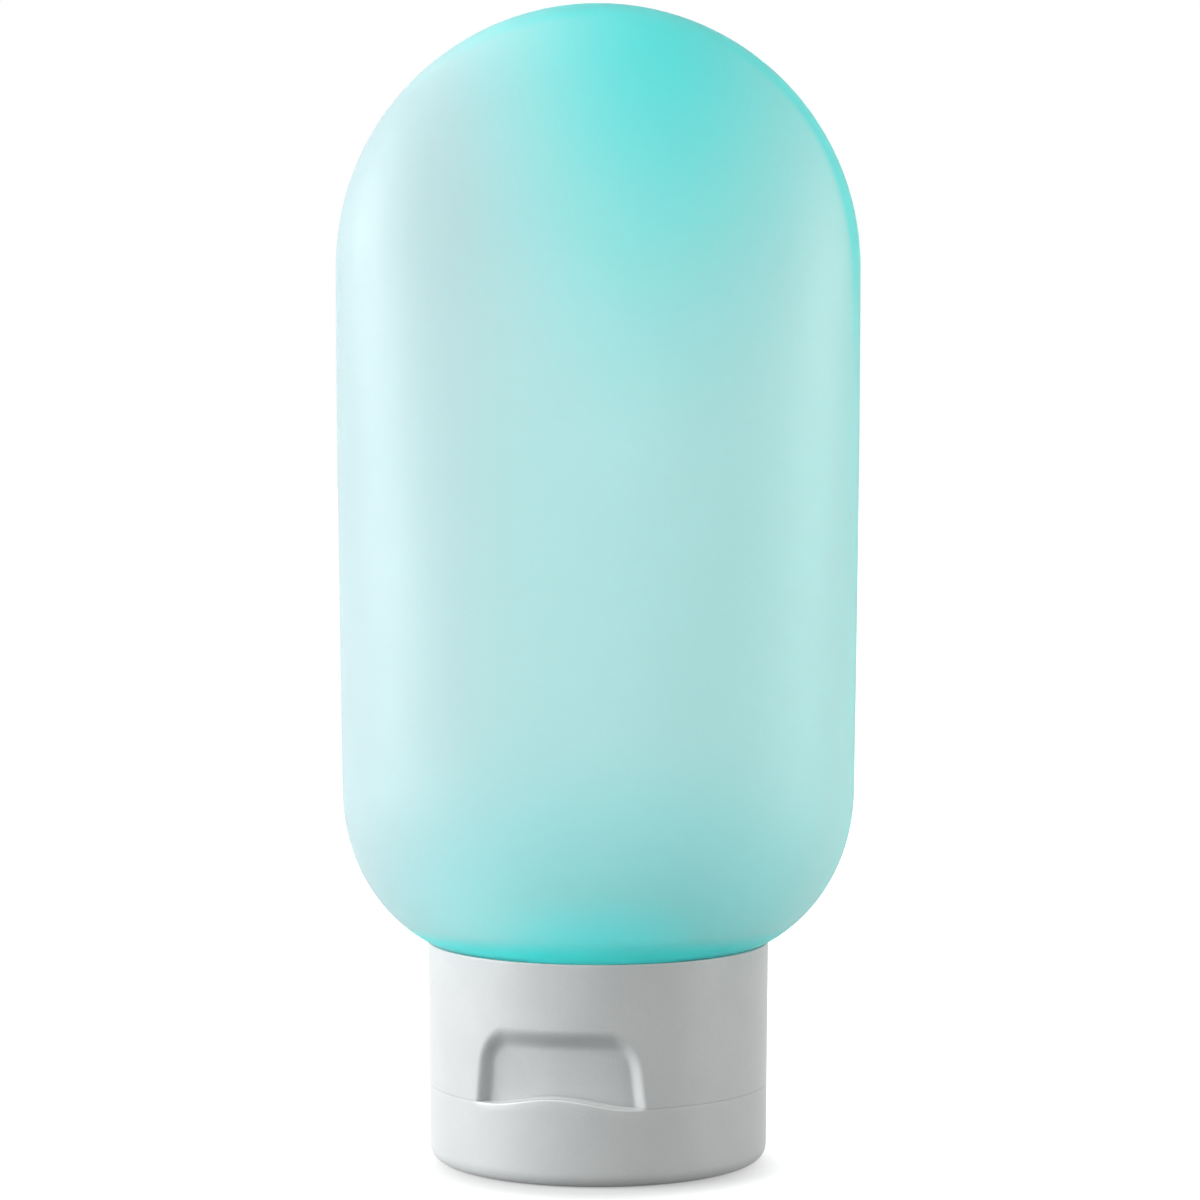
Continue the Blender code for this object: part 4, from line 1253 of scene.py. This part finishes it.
# %% [markdown]
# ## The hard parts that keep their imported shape
#
# The ring that holds the valve and the steel hinge pin are plain turned parts, and the
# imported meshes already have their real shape. They could be built again, but they only
# need a finish. So their material slots are filled and nothing else is touched.

# %% Dress the retainer and the pin
STEEL_DARK = (0.56, 0.56, 0.57, 1.0)
STEEL_LIGHT = (0.66, 0.66, 0.67, 1.0)


def pin_steel():
    """Stainless wire: a fine, uneven brightness and gloss."""
    material, tree, shader = new_finish("hinge_pin_steel", Metallic=1.0)
    coords = wire(tree, "ShaderNodeTexCoord", {}).outputs["Object"]
    marks = wire(tree, "ShaderNodeTexNoise", {"Vector": coords, "Scale": 2500.0, "Detail": 2.0})
    shine = wire(tree, "ShaderNodeMapRange", {
        "Value": marks.outputs["Fac"], "To Min": 0.22, "To Max": 0.36})
    tree.links.new(shine.outputs["Result"], shader.inputs["Roughness"])
    tree.links.new(blend_colours(tree, marks.outputs["Fac"], STEEL_DARK, STEEL_LIGHT),
                   shader.inputs["Base Color"])
    return material


for node_name, material in (("valve_retainer", neck_white), ("hinge_pin", pin_steel())):
    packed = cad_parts[node_name]
    packed.data.materials.clear()
    packed.data.materials.append(material)
    print(node_name, "keeps its packed mesh and gets", material.name)

# %% [markdown]
# ## The studio
#
# The picture has a pure white ground and a soft shadow just under the cap. The white could
# come from brighter lamps, but that would bleach the bottle. Here the floor and the world
# are white only to the light that the camera sees: straight, in a reflection, or through
# the silicone. For all other light they are dimmer.

# %% What the camera sees


def seen_or_mirrored(tree):
    """1 for light that reaches the camera straight, by a reflection or through the silicone."""
    rays = wire(tree, "ShaderNodeLightPath", {}).outputs
    straight = wire(tree, "ShaderNodeMath", {
        0: rays["Is Camera Ray"], 1: rays["Is Transmission Ray"]}, operation="MAXIMUM")
    return wire(tree, "ShaderNodeMath", {
        0: straight.outputs["Value"], 1: rays["Is Glossy Ray"]},
        operation="MAXIMUM").outputs["Value"]


print("the table and the world both ask", seen_or_mirrored.__name__)

# %% [markdown]
# The table adds a white of its own to what the lamps give it, and the lamps' part carries
# the shadow. With a pure white of its own the shadow would be lost, so the table has less
# of it close under the cap. That dimmer patch is a painted shadow: a disc of less white a
# little in front of the cap's middle, which stays there whatever the lamps do.

# %% White table
FLOOR_HALF = 1.5
FLOOR_GREY = (0.34, 0.34, 0.34, 1.0)
# Painted shadow: the table's own white is less inside this disc
PAINTED_SHADOW_MIDDLE = (0.0, -0.006, 0.0)
PAINTED_SHADOW_REACH = (0.0130, 0.0250)  # where the shadow is full, and where it ends
PAINTED_SHADOW_OWN_WHITE = 0.36


def build_floor():
    bm = bmesh.new()
    bmesh.ops.create_grid(bm, x_segments=1, y_segments=1, size=FLOOR_HALF)
    floor = mesh_object("white_table", bm)
    material, tree, shader = new_finish("white_table_top", Base_Color=FLOOR_GREY,
                                        Roughness=0.8, Specular_IOR_Level=0.1)
    coords = wire(tree, "ShaderNodeTexCoord", {}).outputs["Object"]
    away = wire(tree, "ShaderNodeVectorMath", {0: coords, 1: PAINTED_SHADOW_MIDDLE},
                operation="DISTANCE").outputs["Value"]
    # Painted shadow: less own white close under the cap
    white_under_painted_shadow = wire(tree, "ShaderNodeMapRange", {
        "Value": away, "From Min": PAINTED_SHADOW_REACH[0], "From Max": PAINTED_SHADOW_REACH[1],
        "To Min": PAINTED_SHADOW_OWN_WHITE, "To Max": 1.0}, interpolation_type="SMOOTHSTEP")
    seen = product(tree, seen_or_mirrored(tree), white_under_painted_shadow.outputs["Result"])
    shader.inputs["Emission Color"].default_value = (1.0, 1.0, 1.0, 1.0)
    tree.links.new(seen, shader.inputs["Emission Strength"])
    floor.data.materials.append(material)
    return floor


build_floor()
print("white table:", 2.0 * FLOOR_HALF, "m across")

# %% [markdown]
# The world is the soft light that comes from every side. A dome of lamps would do the
# same, slower. It is white where the camera sees it, and about half as bright for what it
# gives to the bottle, so that the softboxes can still shape it.

# %% White world
WORLD_LIGHT = 0.46


def build_world():
    world = bpy.data.worlds.new("white_studio")
    world.use_nodes = True
    tree = world.node_tree
    background = tree.nodes["Background"]
    background.inputs["Color"].default_value = (1.0, 1.0, 1.0, 1.0)
    strength = wire(tree, "ShaderNodeMapRange", {
        "Value": seen_or_mirrored(tree), "To Min": WORLD_LIGHT, "To Max": 1.0})
    tree.links.new(strength.outputs["Result"], background.inputs["Strength"])
    bpy.context.scene.world = world


build_world()
print("world light on the bottle:", WORLD_LIGHT)

# %% [markdown]
# The bottle in the picture is lit by a wide soft light from the left and a weaker one from
# the right. They leave broad pale sheens with a deeper band of colour between them. Point
# lamps would leave small hard glints on the satin cap, so these are squares as wide as a
# real softbox. A weak card in front lifts the middle a little, and a faint light from
# above reaches the crown.

# %% Lamps
LAMPS = (
    # name, place, size, watts, colour
    ("left_softbox", (-0.79, -0.16, 0.28), 0.60, 12.9, (0.98, 0.99, 1.00)),
    ("right_softbox", (0.75, -0.20, 0.12), 0.50, 5.0, (1.00, 1.00, 0.97)),
    ("front_card", (-0.22, -0.72, 0.08), 0.30, 0.9, (1.00, 1.00, 1.00)),
    ("top_light", (0.10, -0.30, 0.75), 0.40, 0.3, (1.00, 1.00, 1.00)),
)
LIT_POINT = Vector((0.0, 0.0, 0.065))


def hang_softbox(name, place, size, watts, colour):
    data = bpy.data.lights.new(name, "AREA")
    data.size = size
    data.energy = watts
    data.color = colour
    lamp = bpy.data.objects.new(name, data)
    bpy.context.scene.collection.objects.link(lamp)
    lamp.location = place
    lamp.rotation_euler = (LIT_POINT - lamp.location).to_track_quat("-Z", "Y").to_euler()
    return lamp


for lamp in LAMPS:
    hang_softbox(*lamp)
print(len(LAMPS), "softboxes")

# %% [markdown]
# ## Finish
#
# The picture is shown through the Standard view transform.

# %% Standard view transform
bpy.context.scene.view_settings.view_transform = "Standard"
